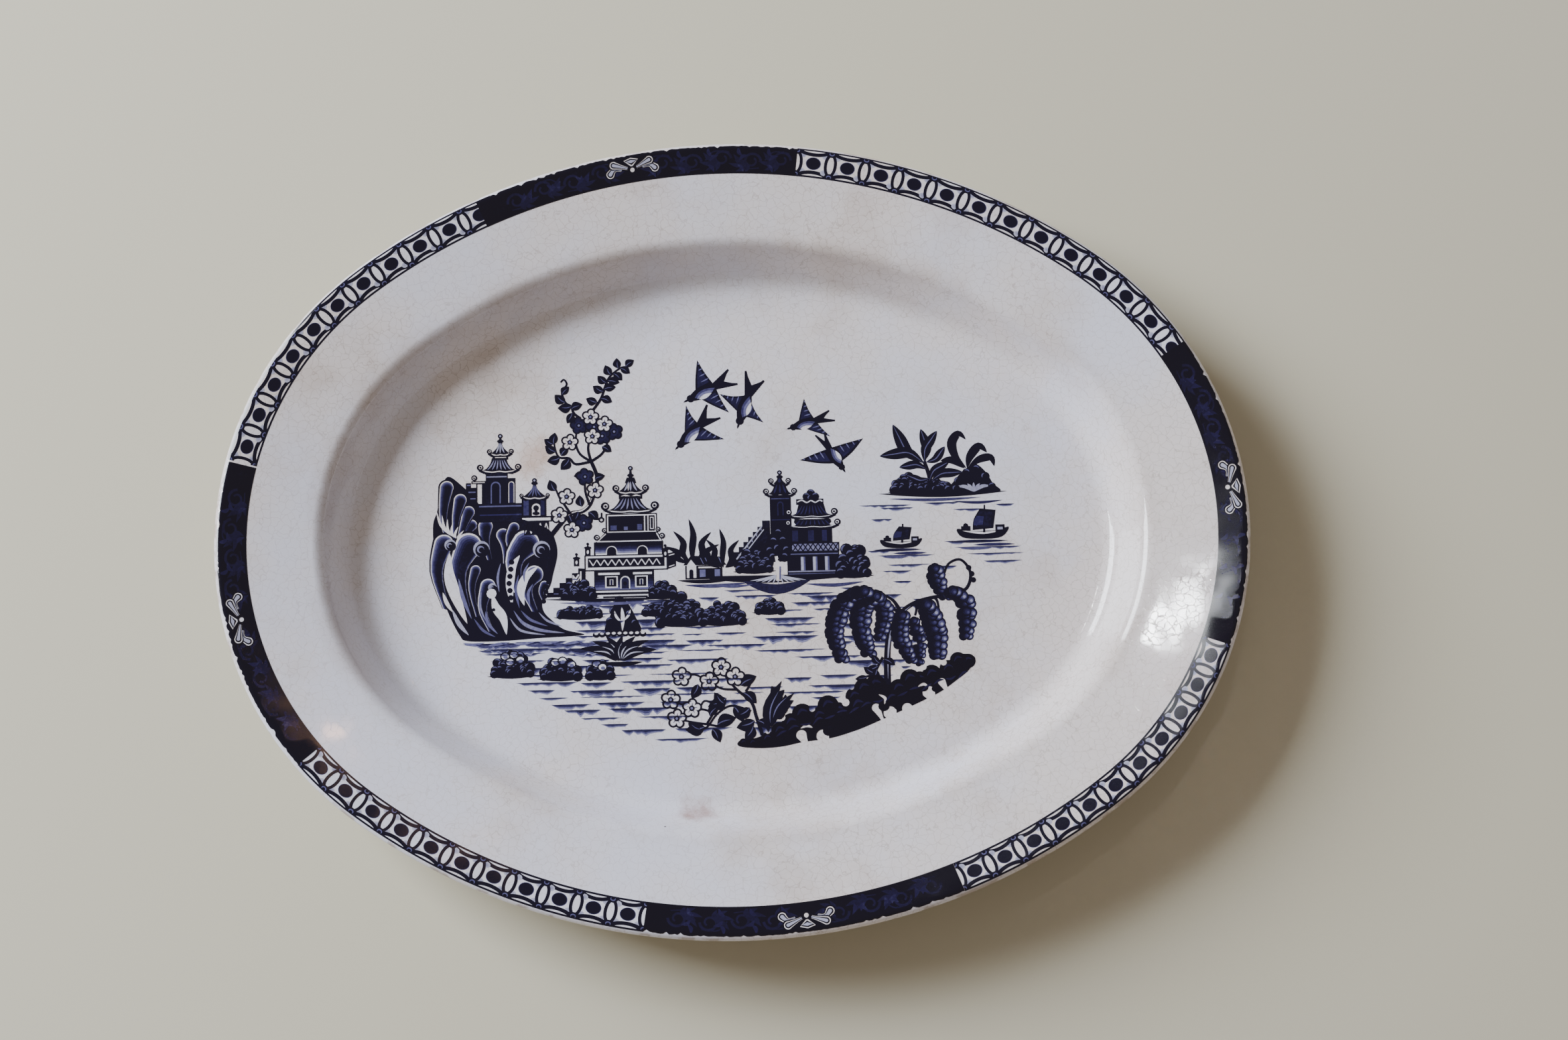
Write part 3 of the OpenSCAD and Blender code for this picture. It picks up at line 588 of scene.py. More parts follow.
def dark_panel(length, centre, seed):
    """A dark panel: worn outer edge, scrolls either way from the palmette."""
    rnd = random.Random(seed)
    n = round(length / 1.1)
    edge = []
    for i in range(n + 1):
        bite = rnd.random() ** 6 * 0.9 + rnd.random() * 0.22
        edge.append((length * i / n, BAND_W - 0.1 - bite))
    ground = [(0.0, 0.0), (length, 0.0)] + edge[::-1]
    shapes = [(1.0, ground)]
    for side in (-1, 1):
        x = centre + side * 13.0
        up = True
        while 5.0 < x < length - 5.0:
            shapes += scroll(x, 6.4 if up else 5.4, 3.8, side, 0.8)
            stem = curve([(x - side * 7, 5.8), (x - side * 3.5, 9.4 if up else 2.2),
                          (x + side * 3, 9.2 if up else 2.4)])
            shapes.append((0.82, ribbon(stem, 0.7, 0.4)))
            for k in range(3):
                shapes.append((0.7, leaf(x - side * (6.2 - k), 5.6 + (k - 1) * 1.8,
                                         (90 - side * 60) + 80 * (k - 1), 4.2, 1.6, 0.2)))
            x += side * 12.5
            up = not up
    for y in (0.55, BAND_W - 1.1):
        shapes.append((1.0, [(0, y - 0.3), (length, y - 0.3), (length, y + 0.3), (0, y + 0.3)]))
    shapes += palmette(centre, 5.4)
    return press([(t, [(min(max(px, 0.0), length), min(py, BAND_W)) for px, py in s]) for t, s in shapes],
                 clip=ground, grid=band_grid(length))


PANELS = {"panel_back": (114.2, 82.9, 98.9), "panel_right": (31.4, -22.3, 4.9),
          "panel_front": (290.2, 261.3, 275.9), "panel_left": (221.0, 166.9, 194.4)}
for number, (node, (start, stop, fan)) in enumerate(PANELS.items()):
    flat = dark_panel(band_length(start, stop), band_length(start, fan), 11 + number)
    wear(film("print_" + node, flat, on_border(start, 0.05)), node, dark_cobalt)

# ---------------------------------------------------------------- border trellis
# The lengths between the panels: a running chain of hollow-sided squares, each round a dark dot,
# with pointed ovals between. Each length is one repeat laid end to end; where the repeats overrun a length,
# the last runs on under the panel.
def trellis_cell(p):
    """One repeat, p long, drawn about its dot."""
    h = BAND_W / 2
    shapes = []
    for side in (-1, 1):
        # soft shading in the corners of the square, then the curved lines
        for top in (-1, 1):
            for k, tone in enumerate((0.06, 0.12, 0.2)):
                shapes.append((tone, disc(side * (p / 2 - 2.3), h + top * (h - 2.6), 1.6 - 0.4 * k,
                                          1.2 - 0.3 * k, 12)))
        oval = curve([(side * p / 2, 0.7), (side * (p / 2 - 1.6), 3.2), (side * (p / 2 - 2.05), h),
                      (side * (p / 2 - 1.6), BAND_W - 3.2), (side * p / 2, BAND_W - 0.7)], 4)
        shapes.append((1.0, ribbon(oval, 1.3)))
        y0 = h + side * (h - 0.6)
        arch = curve([(-p / 2, y0), (-p / 4, h + side * (h - 1.9)), (0, h + side * (h - 2.3)),
                      (p / 4, h + side * (h - 1.9)), (p / 2, y0)], 4)
        shapes.append((1.0, ribbon(arch, 1.5)))
        y1 = h + side * (h - 0.4)
        shapes.append((1.0, [(-p / 2, y1 - 0.4), (p / 2, y1 - 0.4), (p / 2, y1 + 0.4), (-p / 2, y1 + 0.4)]))
    for x in (-p / 2, p / 2):
        for side in (-1, 1):
            y = h + side * (h - 1.0)
            shapes += [(1.0, disc(x, y, 2.1, 1.6, 14)), (0.5, disc(x, y - side * 0.1, 1.1, 0.8, 12)),
                       (1.0, disc(x, y + side * 0.2, 0.8, 0.65, 10))]
    shapes += [(0.6, disc(0, h, 3.15, 2.65, 24)), (1.0, disc(0, h, 2.95, 2.45, 22))]
    frame_line = [(-p / 2, 0), (p / 2, 0), (p / 2, BAND_W), (-p / 2, BAND_W)]
    grid = [((-p / 2 + p * i / 5, -0.2), (-p / 2 + p * i / 5, BAND_W + 0.2)) for i in range(6)]
    grid += [((-p / 2 - 0.1, y), (p / 2 + 0.1, y)) for y in (CREST_Y, CREST_Y + 0.6, CREST_Y + 1.2)]
    return press(shapes, clip=frame_line, grid=grid)


def repeat_tree():
    """Geometry nodes that lay the cell end to end."""
    tree = bpy.data.node_groups.new("lay_repeats_end_to_end", "GeometryNodeTree")
    side = tree.interface
    side.new_socket("Cell", in_out="INPUT", socket_type="NodeSocketGeometry")
    side.new_socket("Count", in_out="INPUT", socket_type="NodeSocketInt")
    side.new_socket("Pitch", in_out="INPUT", socket_type="NodeSocketVector")
    side.new_socket("Finish", in_out="INPUT", socket_type="NodeSocketMaterial")
    side.new_socket("Length", in_out="OUTPUT", socket_type="NodeSocketGeometry")
    given = add(tree, "NodeGroupInput")
    row = add(tree, "GeometryNodeMeshLine", {"Count": given.outputs["Count"],
                                             "Offset": given.outputs["Pitch"]})
    laid = add(tree, "GeometryNodeInstanceOnPoints", {"Points": row.outputs[0],
                                                      "Instance": given.outputs["Cell"]})
    real = add(tree, "GeometryNodeRealizeInstances", {"Geometry": laid.outputs[0]})
    done = add(tree, "GeometryNodeSetMaterial", {"Geometry": real.outputs[0],
                                                 "Material": given.outputs["Finish"]})
    add(tree, "NodeGroupOutput", {"Length": done.outputs[0]})
    return tree


REPEAT = repeat_tree()


def lay_out(name, cell, count, pitch, finish):
    """Repeats a flat film count times at pitch; returns the plain mesh object, still flat."""
    verts, faces, shades = cell
    obj = film(name, cell, lambda x, y, h: (x, y, h))
    mod = obj.modifiers.new("repeats", "NODES")
    mod.node_group = REPEAT
    sockets = {s.name: s.identifier for s in REPEAT.interface.items_tree if s.in_out == "INPUT"}
    mod[sockets["Count"]] = count
    mod[sockets["Pitch"]] = (pitch * MM, 0.0, 0.0)
    mod[sockets["Finish"]] = finish
    evaluated = obj.evaluated_get(bpy.context.evaluated_depsgraph_get())
    mesh = bpy.data.meshes.new_from_object(evaluated)
    obj.modifiers.clear()
    obj.data = mesh
    return obj


TRELLIS = {"trellis_back_right": (82.9, 31.4, 12.5, 0.5), "trellis_back_left": (166.9, 114.2, 10.6, 0.55),
           "trellis_front_left": (261.3, 221.0, 11.0, 0.5),
           "trellis_front_right": (337.7, 290.2, 11.0, 0.5)}
for node, (start, stop, cells, first) in TRELLIS.items():
    length = band_length(start, stop)
    pitch = length / cells
    piece = lay_out("print_" + node, trellis_cell(pitch), math.ceil(cells), pitch, cobalt)
    wrap = on_border(start)
    for v in piece.data.vertices:
        x, y, h = (c / MM for c in v.co)
        v.co = [c * MM for c in wrap(x + first * pitch, y, h)]
    piece.data.set_sharp_from_angle(angle=math.radians(30))
    wear(piece, node, cobalt)

# ---------------------------------------------------------------- rock and cliff
# The scene is one engraving laid flat in the well: here its left bank, a tall rock of curled
# lobes. Every lobe has a full outline, a bare rim and a stipple that deepens toward its root.
def blob(points, steps=5):
    """Closed smooth outline through points."""
    p, n, out = list(points), len(points), []
    for i in range(n):
        a, b, c, d = p[i - 1], p[i], p[(i + 1) % n], p[(i + 2) % n]
        out += [spline(a, b, c, d, k / steps) for k in range(steps)]
    return out


def sickle(points, width, steps=5):
    """A stroke through points that swells from both ends."""
    return swell(curve(points, steps), lambda u: width / 2 * math.sin(math.pi * u))


def lobe(points, width, tones=(1.0, 0.0, 0.42, 0.62, 0.78, 0.9, 0.97)):
    """Round-headed lobe lit on its upper left: outline, bare rim, then deepening stipple."""
    out = []
    for k, tone in enumerate(tones):
        shift = width * 0.018 * max(k - 1, 0)
        path = [(x + shift, y - shift) for x, y in points]
        out.append((tone, petal(path, width * (1 - 0.1 * k) - (0.5 if k else 0), 0.34,
                                width * 0.05 * k + (0.3 if k else 0))))
    return out


def box(x0, y0, x1, y1):
    """Rectangle between two corners."""
    return [(x0, y0), (x1, y0), (x1, y1), (x0, y1)]


def toward(shape, focus, k):
    """Shape drawn in by k of the way to focus."""
    return [(x + (focus[0] - x) * k, y + (focus[1] - y) * k) for x, y in shape]


def lay(node, shapes, lift, finish=cobalt):
    """Presses shapes on to the well's floor as one film. Lifts differ so that no two films share a plane."""
    base = FLOOR_Z + GLAZE + lift
    wear(film(node + "_film", press(shapes), lambda x, y, h: (x, y, base + h)), node, finish)


rock = [(1.0, blob([(-118.6, 29.6), (-121.6, 22), (-122.9, 14.6), (-124.5, 9.2), (-124.2, -1.8),
                    (-123.3, -9.7), (-121.1, -17.9), (-120.5, -21.5), (-117.4, -29.9), (-113.3, -37.8),
                    (-110, -40.3), (-96, -40.6), (-80, -39.7), (-62, -38.8), (-70, -36.4), (-75.2, -32.4),
                    (-78.6, -28.6), (-79, -24), (-75.8, -17.8), (-74.6, -13), (-72.8, -5), (-73.6, 1.2),
                    (-76.6, 6.2), (-86.6, 10.4), (-96, 12), (-103, 14), (-106.5, 19), (-112, 25)]))]
for points, width in (([(-112.6, 1), (-109.6, 7), (-106.8, 11)], 6.0),
                      ([(-114, 2), (-111.4, 10), (-108.6, 17.2)], 6.4),
                      ([(-115.4, 2), (-115, 12), (-112.4, 22.6)], 6.6),
                      ([(-118, 1), (-120.4, 13), (-118.4, 28.4)], 7.0),
                      ([(-101, -6), (-103, 3), (-102.2, 11.6)], 7.4),
                      ([(-94.4, -8), (-94.4, 0), (-96.6, 7.4)], 6.8),
                      ([(-90.6, -6), (-93, 2), (-89.4, 9.6)], 5.6),
                      ([(-89, -20), (-90.6, -6), (-81, 4.6)], 13.6),
                      ([(-82.4, -28), (-85.6, -18), (-79.4, -9.6)], 9.0),
                      ([(-78.6, -24), (-79.6, -20), (-77, -15.6)], 4.6),
                      ([(-106, -30), (-108.4, -18), (-106, -8)], 5.4),
                      ([(-100.4, -36), (-104, -26), (-100.4, -13.8)], 7.6),
                      ([(-111, -26), (-114, -10), (-106.6, 5.4)], 13.0),
                      ([(-119, -26), (-123, -10), (-118.4, 5.4)], 9.6)):
    rock += lobe(points, width)
for x, y, r in ((-104.4, -1.6, 3.4), (-79.4, -2.4, 3.6), (-117.4, 0.4, 2.4), (-99.8, -18, 1.8)):
    rock += [(0.2, disc(x, y, r, n=16)), (1.0, disc(x + 0.4, y - 0.6, r * 0.86, n=14)),
             (0.3, disc(x - 0.3, y - 0.2, r * 0.45, n=12)), (1.0, disc(x + 0.1, y - 0.5, r * 0.34, n=10))]
for i in range(6):
    rock.append((0.0, sickle([(-123.2 + i * 2.3, 15 - i * 1.7), (-121.4 + i * 1.5, 9 - i),
                              (-117.6 + i * 0.7, 4.6 - i * 0.4)], 1.1, 4)))
for line, width, tone in (([(-117.6, -3), (-117.8, -12), (-114.8, -22), (-110.2, -33)], 5.0, 0.0),
                          ([(-113.8, -14), (-112, -22), (-108.4, -31)], 1.6, 0.4),
                          ([(-120.4, -19.6), (-118.8, -24), (-116.2, -28)], 1.7, 0.0),
                          ([(-116.4, -27), (-113.6, -33), (-109.6, -37.8)], 1.8, 0.15),
                          ([(-88.4, -4.6), (-91.6, -10), (-92.6, -18), (-91.6, -25.6)], 3.8, 0.0),
                          ([(-89, -13), (-90, -20), (-88.6, -27)], 1.2, 0.5),
                          ([(-80.6, -9.4), (-86.2, -14.4), (-88, -20), (-86.6, -26)], 3.8, 0.0),
                          ([(-83, -17), (-85, -21), (-84.2, -26)], 1.2, 0.45),
                          ([(-99.8, -21), (-98.4, -26.4), (-95.4, -31), (-94, -38)], 4.0, 0.0),
                          ([(-102.6, -28), (-101.6, -33), (-97.6, -37.6)], 1.3, 0.4),
                          ([(-96.4, -8), (-97.6, -14), (-97, -20)], 1.0, 0.35),
                          ([(-104.4, -20), (-104.8, -26), (-102.6, -32)], 0.9, 0.3),
                          ([(-84.6, -8), (-86.6, -12), (-86.6, -16)], 0.9, 0.4),
                          ([(-91, -28), (-87, -33.4), (-80, -36.4), (-70, -37.8)], 1.5, 0.35),
                          ([(-88, -28), (-84, -32), (-77, -34.8)], 1.1, 0.5),
                          ([(-92.6, -31), (-88, -36.4), (-78, -38.4)], 1.0, 0.25),
                          ([(-107.4, -31), (-103.6, -36), (-98.6, -38.8)], 1.1, 0.5),
                          ([(-80.6, -29), (-77, -32.6), (-71, -35)], 0.9, 0.3)):
    rock.append((tone, sickle(line, width)))
rock += [(0.0, disc(-100.2, -20.6, 2.1, n=12)), (1.0, disc(-97.4, -23.2, 0.8, n=8)),
         (1.0, disc(-99.3, -27.4, 0.7, n=8))]
for i in range(7):
    rock.append((1.0, disc(-92.9 + 0.35 * abs(i - 3), -7.5 - i * 3.0, 1.15, n=9)))
    rock.append((1.0, disc(-76.6 - 0.5 * abs(i - 2), -12.4 - i * 2.0, 1.0, n=9)))
for i in range(12):
    x = -112 + i * 5.2
    rock.append((0.6 if i % 2 else 0.38, sickle([(x, -41.1 - (i % 3) * 0.7), (x + 4, -41.9 - (i % 2)),
                                                 (x + 9, -41.2 - (i % 2) * 0.8)], 1.2, 3)))
lay("print_rock_cliff", rock, 0.04)

# ---------------------------------------------------------------- temple on the cliff
# Two-tier temple with curled eaves and a small kiosk, on a stepped platform. Roofs and walls
# are solid line work with fine bare ribs, mouldings and door heads.
def curl(x, y, r, hand):
    """Turned-up end of an eave: a bold coil with a bare eye."""
    return [(1.0, disc(x, y, r, n=12)), (0.0, disc(x - hand * r * 0.1, y + r * 0.05, r * 0.55, n=10)),
            (1.0, disc(x - hand * r * 0.1, y, r * 0.3, n=8))]


def roof(x, y, w, u, h, ribs=7, tip=1.2, rib=0.25, hem=0.55):
    """Sweeping roof: half width w at its eaves (height y), u at its top, h high."""
    side = [(u, h), (u + (w - u) * 0.16, h * 0.6), (w * 0.74, h * 0.22), (w + 0.4, h * 0.06)]
    right = curve([(x + p, y + q) for p, q in side], 4)
    left = [(2 * x - p, q) for p, q in right]
    sag = [(x + w * 0.8, y - 1.3), (x, y - 0.7), (x - w * 0.8, y - 1.3)]
    out = [(1.0, right + curve(sag, 4) + left[::-1])]
    for i in range(ribs):
        k = (i + 0.5) / ribs * 2 - 1
        mid = (x + k * (u * 0.9 + (w - u) * 0.3), y + h * 0.42)
        out.append((rib, sickle([(x + k * u * 0.8, y + h * 0.86), mid, (x + k * (w - 1.4), y + 0.7)],
                                w / ribs * 0.34 + 0.15, 3)))
    out.append((0.0, ribbon(curve([(x - w + 0.2, y + 0.3), (x - w * 0.4, y - 0.25), (x, y + 0.05),
                                   (x + w * 0.4, y - 0.25), (x + w - 0.2, y + 0.3)], 4), hem)))
    for hand in (-1, 1):
        out += [(1.0, ribbon([(x + hand * w * 0.86, y - 0.5), (x + hand * (w + tip * 0.9), y + tip * 0.4)],
                             1.1, 0.9))]
        out += curl(x + hand * (w + tip * 0.55), y + tip * 1.25, tip, hand)
    return out


def arch(x, y, w, h):
    """Round-headed opening w wide and h high standing on (x, y)."""
    return [(x - w / 2, y), (x + w / 2, y)] + disc(x, y + h - w / 2, w / 2, n=9, t0=0.0, t1=math.pi)


def openings(xs, y, w, h, tone=1.0, frame=0.55):
    """Round-headed openings in bare frames, one at each of xs."""
    out = []
    for x in xs:
        out += [(0.0, arch(x, y, w + 2 * frame, h + frame)), (tone, arch(x, y, w, h))]
    return out


def fade(x0, y0, x1, y1, top, foot, n=7):
    """Tone graded down a wall, holding dark before it lets go."""
    step = (y1 - y0) / n
    return [(top + (foot - top) * (i / (n - 1)) ** 2, box(x0, y1 - (i + 1) * step, x1, y1 - i * step))
            for i in range(n)]


def bars(points, width, tone=0.0):
    """Straight strokes, each from one point to another."""
    return [(tone, ribbon([a, b], width)) for a, b in points]


def finial(x, y, h):
    """Spike and ball on a roof's top."""
    return [(1.0, ribbon([(x, y), (x, y + h)], 1.7, 0.6)), (1.0, disc(x, y + h * 0.3, 1.4, 0.8, 10)),
            (1.0, disc(x, y + h, 1.05, n=10)), (0.2, disc(x, y + h, 0.45, n=8))]


temple = finial(-96.5, 43.4, 3.2) + roof(-96.5, 38.6, 4.0, 0.5, 5.8, 3, 1.1, 0.15)
temple += [(1.0, box(-99.6, 36.4, -93.2, 38.2)), (0.0, box(-98.8, 37, -94, 37.6))]
temple += [(0.96, box(-102.6, 17.2, -93.4, 31))] + roof(-97, 31.4, 7.2, 3.0, 5.8, 6, 1.4, 0.3)
temple += [(0.5, arch(-98.4, 17.6, 4.2, 9.4)), (1.0, arch(-98.4, 17.6, 3.2, 8.8)),
           (0.3, box(-102.2, 28.8, -93.8, 29.3))]
temple += [(1.0, box(-93.6, 17.2, -90.2, 28.4))] + openings([-91.9], 17.8, 1.7, 8.8, 0.75, 0.45)
temple += [(1.0, box(-106.6, 17.2, -102.6, 26.6)), (0.0, box(-106.1, 17.6, -104.2, 26)),
           (1.0, box(-108.6, 26.2, -102.6, 27.4)), (0.0, box(-108.2, 26.6, -103, 27))]
temple += curl(-107.4, 28.7, 1.3, 1)
temple += [(1.0, [(-110.9, 26.6), (-108.8, 26.6), (-108.8, 24.6), (-106.6, 24.6), (-106.6, 17),
                  (-108.2, 17), (-111, 21)])]
temple += [(0.45, box(-110.4, 25.4, -108.9, 25.9)), (0.45, box(-109.8, 22.4, -106.8, 22.9)),
           (0.45, box(-109, 19.6, -106.8, 20.1))]
temple += [(0.96, box(-106, 9.6, -86.6, 17.6)), (0.5, box(-105.4, 16.1, -87.2, 16.7)),
           (0.7, box(-105, 12.4, -87.2, 13))]
temple += [(1.0, box(-87.6, 11.6, -77.3, 19.4)), (0.62, box(-86.8, 12.2, -84.6, 18.6)),
           (0.8, box(-79.6, 12.2, -78, 18.6))]
temple += roof(-82.2, 19.6, 5.0, 0.5, 6.4, 4, 0.9, 0.5) + finial(-82.2, 25.4, 1.7)
temple += [(0.0, disc(-81.6, 15.4, 1.9, n=12)), (0.0, box(-83.4, 12, -79.8, 14.6)),
           (1.0, disc(-81.6, 15.3, 1.2, n=10)), (1.0, box(-82.2, 12.2, -81, 14.8)),
           (1.0, disc(-82.5, 13, 0.6, n=8)), (1.0, disc(-80.7, 13, 0.6, n=8))]
temple += [(1.0, box(-88, 9.4, -75, 11.8)), (0.0, box(-87.5, 9.9, -75.5, 11.2)),
           (1.0, box(-86.6, 3.8, -76.2, 9.4))]
temple += bars([((-86.2 + i * 2.5, 4.4), (-84.9 + i * 2.5, 8.8))
                for i in range(4)] + [((-83.7 + i * 2.5, 4.4), (-84.9 + i * 2.5, 8.8)) for i in range(4)],
               0.5)
lay("print_cliff_temple", temple, 0.09)

# ---------------------------------------------------------------- blossom branch
# A branch leaning from the cliff with open blossom left bare inside bold outlines, darker
# half-open flowers behind, and small broad leaves in pairs.
def flower(x, y, r=3.5, bare=True, turn=0.2):
    """Five-petalled blossom, bare inside its outline or dark and half open."""
    petals = [(x + r * 0.58 * math.cos(a), y + r * 0.58 * math.sin(a))
              for a in (turn + i * math.tau / 5 for i in range(5))]
    out = [(1.0, disc(px, py, r * 0.52, n=12)) for px, py in petals]
    out += [(0.0 if bare else 0.86, disc(px, py, r * 0.33, n=10)) for px, py in petals]
    out += [(0.0 if bare else 0.8, disc(x, y, r * 0.5, n=12))]
    if bare:
        out += [(0.6, ribbon([(x, y), (x + (px - x) * 1.0, y + (py - y) * 1.0)], 0.45, 0.1)) for px,
                py in petals]
    return out + [(1.0, disc(x, y, r * 0.3, n=10)), (0.35, disc(x, y, r * 0.14, n=8))]


def twig(points, width=1.2, end=0.7):
    """Stem through points that thins to end."""
    return [(1.0, ribbon(curve(points, 5), width, end))]


def leaves(places, plump=0.62):
    """Small leaves, each (x, y, angle, length), with a fine bare rib."""
    out = []
    for x, y, angle, size in places:
        out += [(1.0, leaf(x, y, angle, size, size * plump, 0.1)),
                (0.5, leaf(x, y, angle, size * 0.7, size * 0.06, 0.1))]
    return out


branch = twig([(-76.4, 2), (-71.4, 8.2), (-67.2, 12.4), (-62.5, 13.4), (-59.2, 16.1), (-56.9, 22.3),
               (-56, 28), (-58.4, 34.7)], 2.0, 1.5)
branch += [(0.0, sickle([(-72, 8.2), (-67, 12.7), (-62.5, 13.8), (-59.4, 16.6), (-57.2, 22.5)], 0.7))]
for line in ([(-58.4, 34.7), (-63, 38), (-64.8, 43), (-64.2, 49)],
             [(-58.4, 34.7), (-59.6, 40), (-58.8, 46), (-57.4, 57)],
             [(-58.4, 34.7), (-53.8, 38), (-51.6, 42.6), (-52, 47.6)],
             [(-57.4, 57), (-54, 61.9), (-52.2, 67.1), (-50.2, 71.4), (-45.7, 75.1), (-42.6, 75.6)],
             [(-62.7, 53.5), (-65.5, 55.8), (-66.6, 58.8), (-69.1, 60.6), (-70.4, 65), (-68.4, 68.4),
              (-69.6, 70.6), (-71, 69.4)], [(-58.4, 34.7), (-64.8, 33.7), (-67.6, 36.3), (-71.5, 36.7),
                                            (-73.2, 39.3), (-74, 43.9)],
             [(-67.2, 12.4), (-69.5, 16), (-71.8, 19.5), (-73.4, 23.4)],
             [(-59.2, 16.1), (-61, 22), (-61, 27.9)]):
    branch += twig(line)
branch += leaves([(-73.4, 22.4, 118, 5.4), (-62.5, 15.4, 100, 5), (-59.8, 13, 320, 5.4),
                  (-66.5, 58.8, 186, 5.8), (-69.1, 60.6, 142, 5.6), (-66.6, 57.6, 24, 5.2),
                  (-66.2, 56, 244, 5), (-70.4, 64, 50, 4.6), (-67.6, 36, 232, 5.8), (-71.5, 36.7, 196, 5.6),
                  (-73.2, 39.3, 150, 5.2), (-71, 37.4, 52, 5), (-74, 42.6, 84, 5), (-74.2, 42.6, 150, 4.4),
                  (-57, 27, 20, 4.6), (-53.8, 41, 330, 4.6), (-68, 11.8, 290, 5), (-64, 13.4, 250, 5),
                  (-55.6, 60.4, 160, 5), (-54, 62, 340, 5), (-53, 65, 150, 5), (-52.6, 66, 10, 5),
                  (-51.6, 68.8, 140, 4.8), (-51, 69.6, 350, 5), (-49.6, 72.2, 120, 5),
                  (-48.6, 72.8, 320, 4.8), (-46.4, 75, 100, 4.6), (-45.6, 75, 330, 4.6),
                  (-43.4, 75.6, 40, 4.6), (-61.4, 30, 200, 4.6)], 0.76)
for x, y in ((-63.4, 50.4), (-48.6, 47.4), (-53.6, 45.6), (-61, 28.2), (-61.6, 8.4), (-57, 49.6)):
    branch += flower(x, y, 3.6, False, 0.5)
for x, y in ((-57.8, 45.6), (-58.5, 54), (-52.7, 50.8), (-67.3, 43.2), (-56.9, 22.3), (-68.8, 19.8),
             (-71.9, 11.9), (-66.7, 5.6)):
    branch += flower(x, y)
lay("print_blossom_branch", branch, 0.09)

# ---------------------------------------------------------------- pagoda
# The tall pavilion at the middle of the scene: two curled roofs, a skirt roof, a balcony and an
# open ground floor, with a stair climbing to it from the left.
def foliage(places, gleam=0.5):
    """A clump of round foliage, the lower in front, each ball with a fine lit edge."""
    out = []
    for x, y, r in sorted(places, key=lambda b: -b[1]):
        a = 2.0 + math.sin(x * 3 + y * 5) * 0.7
        lit = [(x + 0.72 * r * math.cos(a + t), y + 0.72 * r * math.sin(a + t))
               for t in (0.9, 0.3, -0.3, -0.9)]
        out += [(1.0, disc(x, y, r, n=12)), (gleam, sickle(lit, r * 0.3, 3))]
    return out


def bush(x0, x1, base, crown, r, rnd):
    """Foliage heaped in a dome from x0 to x1, crown high above base."""
    cx, w, h = (x0 + x1) / 2, (x1 - x0) / 2 - r * 0.6, crown - r
    around = max(4, round(1.5 * (w + h) / r))
    places = [(cx + w * math.cos(math.pi * i / around), base + r * 0.5
               + h * math.sin(math.pi * i / around) * (0.86 + 0.2 * math.sin(i * 2.3)),
               r * rnd.uniform(0.75, 1.15)) for i in range(around + 1)]
    for i in range(round(2.2 * w * h / r / r) + 3):
        t, q = rnd.uniform(0.1, math.pi - 0.1), math.sqrt(rnd.random()) * 0.82
        places.append((cx + w * q * math.cos(t), base + r * 0.6 + h * q * math.sin(t),
                       r * rnd.uniform(0.6, 0.95)))
    mound = [(cx + w * 1.05 * math.cos(math.pi * i / 12), base + h * 0.9 * math.sin(math.pi * i / 12))
             for i in range(13)]
    ground = sickle([(x0 - 1.5, base + 0.2), (cx, base - 0.2), (x1 + 1.5, base + 0.2)], 1.5, 3)
    return [(1.0, mound)] + foliage(places) + [(1.0, ground)]


rnd = random.Random(9)
pagoda = finial(-42, 27, 4.4) + [(1.0, [(-43.6, 27.4), (-40.4, 27.4), (-39.6, 25), (-44.4, 25)])]
pagoda += roof(-42, 21, 5.4, 1.5, 5.4, 3, 1.5, 0.2)
pagoda += [(0.0, sickle([(-42.6, 25.6), (-43, 23.6), (-43, 21.6)], 0.7))]
pagoda += [(1.0, box(-47, 18.2, -37.2, 20.4)),
           (0.0, sickle([(-46.6, 19.3), (-44.4, 19.8), (-42, 19), (-39.8, 19.8), (-37.6, 19.3)], 0.9))]
pagoda += roof(-42.4, 13, 9.4, 3.9, 6.4, 6, 1.8, 0.3)
pagoda += [(1.0, ribbon([(-54.3, 12.6), (-54.3, 10.4)], 0.7)), (1.0, disc(-54.4, 9.6, 1.3, n=10)),
           (0.0, disc(-54.4, 9.5, 0.6, n=8))]
pagoda += [(1.0, box(-52.6, 3.4, -31.2, 12))]
pagoda += bars([((x, 3.8), (x, 11.4)) for x in (-51.8, -36.4, -35, -31.9)]
               + [((-52, 11.3), (-31.8, 11.3)), ((-52, 4.2), (-31.8, 4.2))], 0.6)
pagoda += [(0.62, box(-50.6, 5, -48, 7)), (0.5, box(-45, 5, -43.4, 6.4)), (0.6, box(-39.4, 5, -37.4, 7.4)),
           (0.0, box(-34.2, 5.2, -32.6, 10.4)), (1.0, box(-33.8, 5.6, -33, 10))]
pagoda += [(1.0, [(-53, 4), (-31, 4), (-29, 0), (-56.8, 0)])]
pagoda += bars([((-52.6, 3.6), (-56, 0.4)), ((-31.6, 3.6), (-29.8, 0.4)), ((-56.4, 0.3), (-29.4, 0.3))],
               0.55)
pagoda += curl(-53.2, 5, 1.1, -1) + curl(-56.4, 2, 1.3, -1) + curl(-30.8, 5, 1.1, 1)
pagoda += curl(-29.2, 2.2, 1.3, 1)
pagoda += [(1.0, box(-57.6, -5.8, -28.8, 0))] + fade(-57, -5.4, -29.4, -0.4, 1.0, 0.0)
pagoda += [(0.0, arch(-50.3, -5.6, 4.8, 4)), (1.0, arch(-50.3, -5.6, 3.8, 3.6)),
           (0.0, arch(-37.5, -5.6, 4.8, 4)), (1.0, arch(-37.5, -5.6, 3.8, 3.6))]
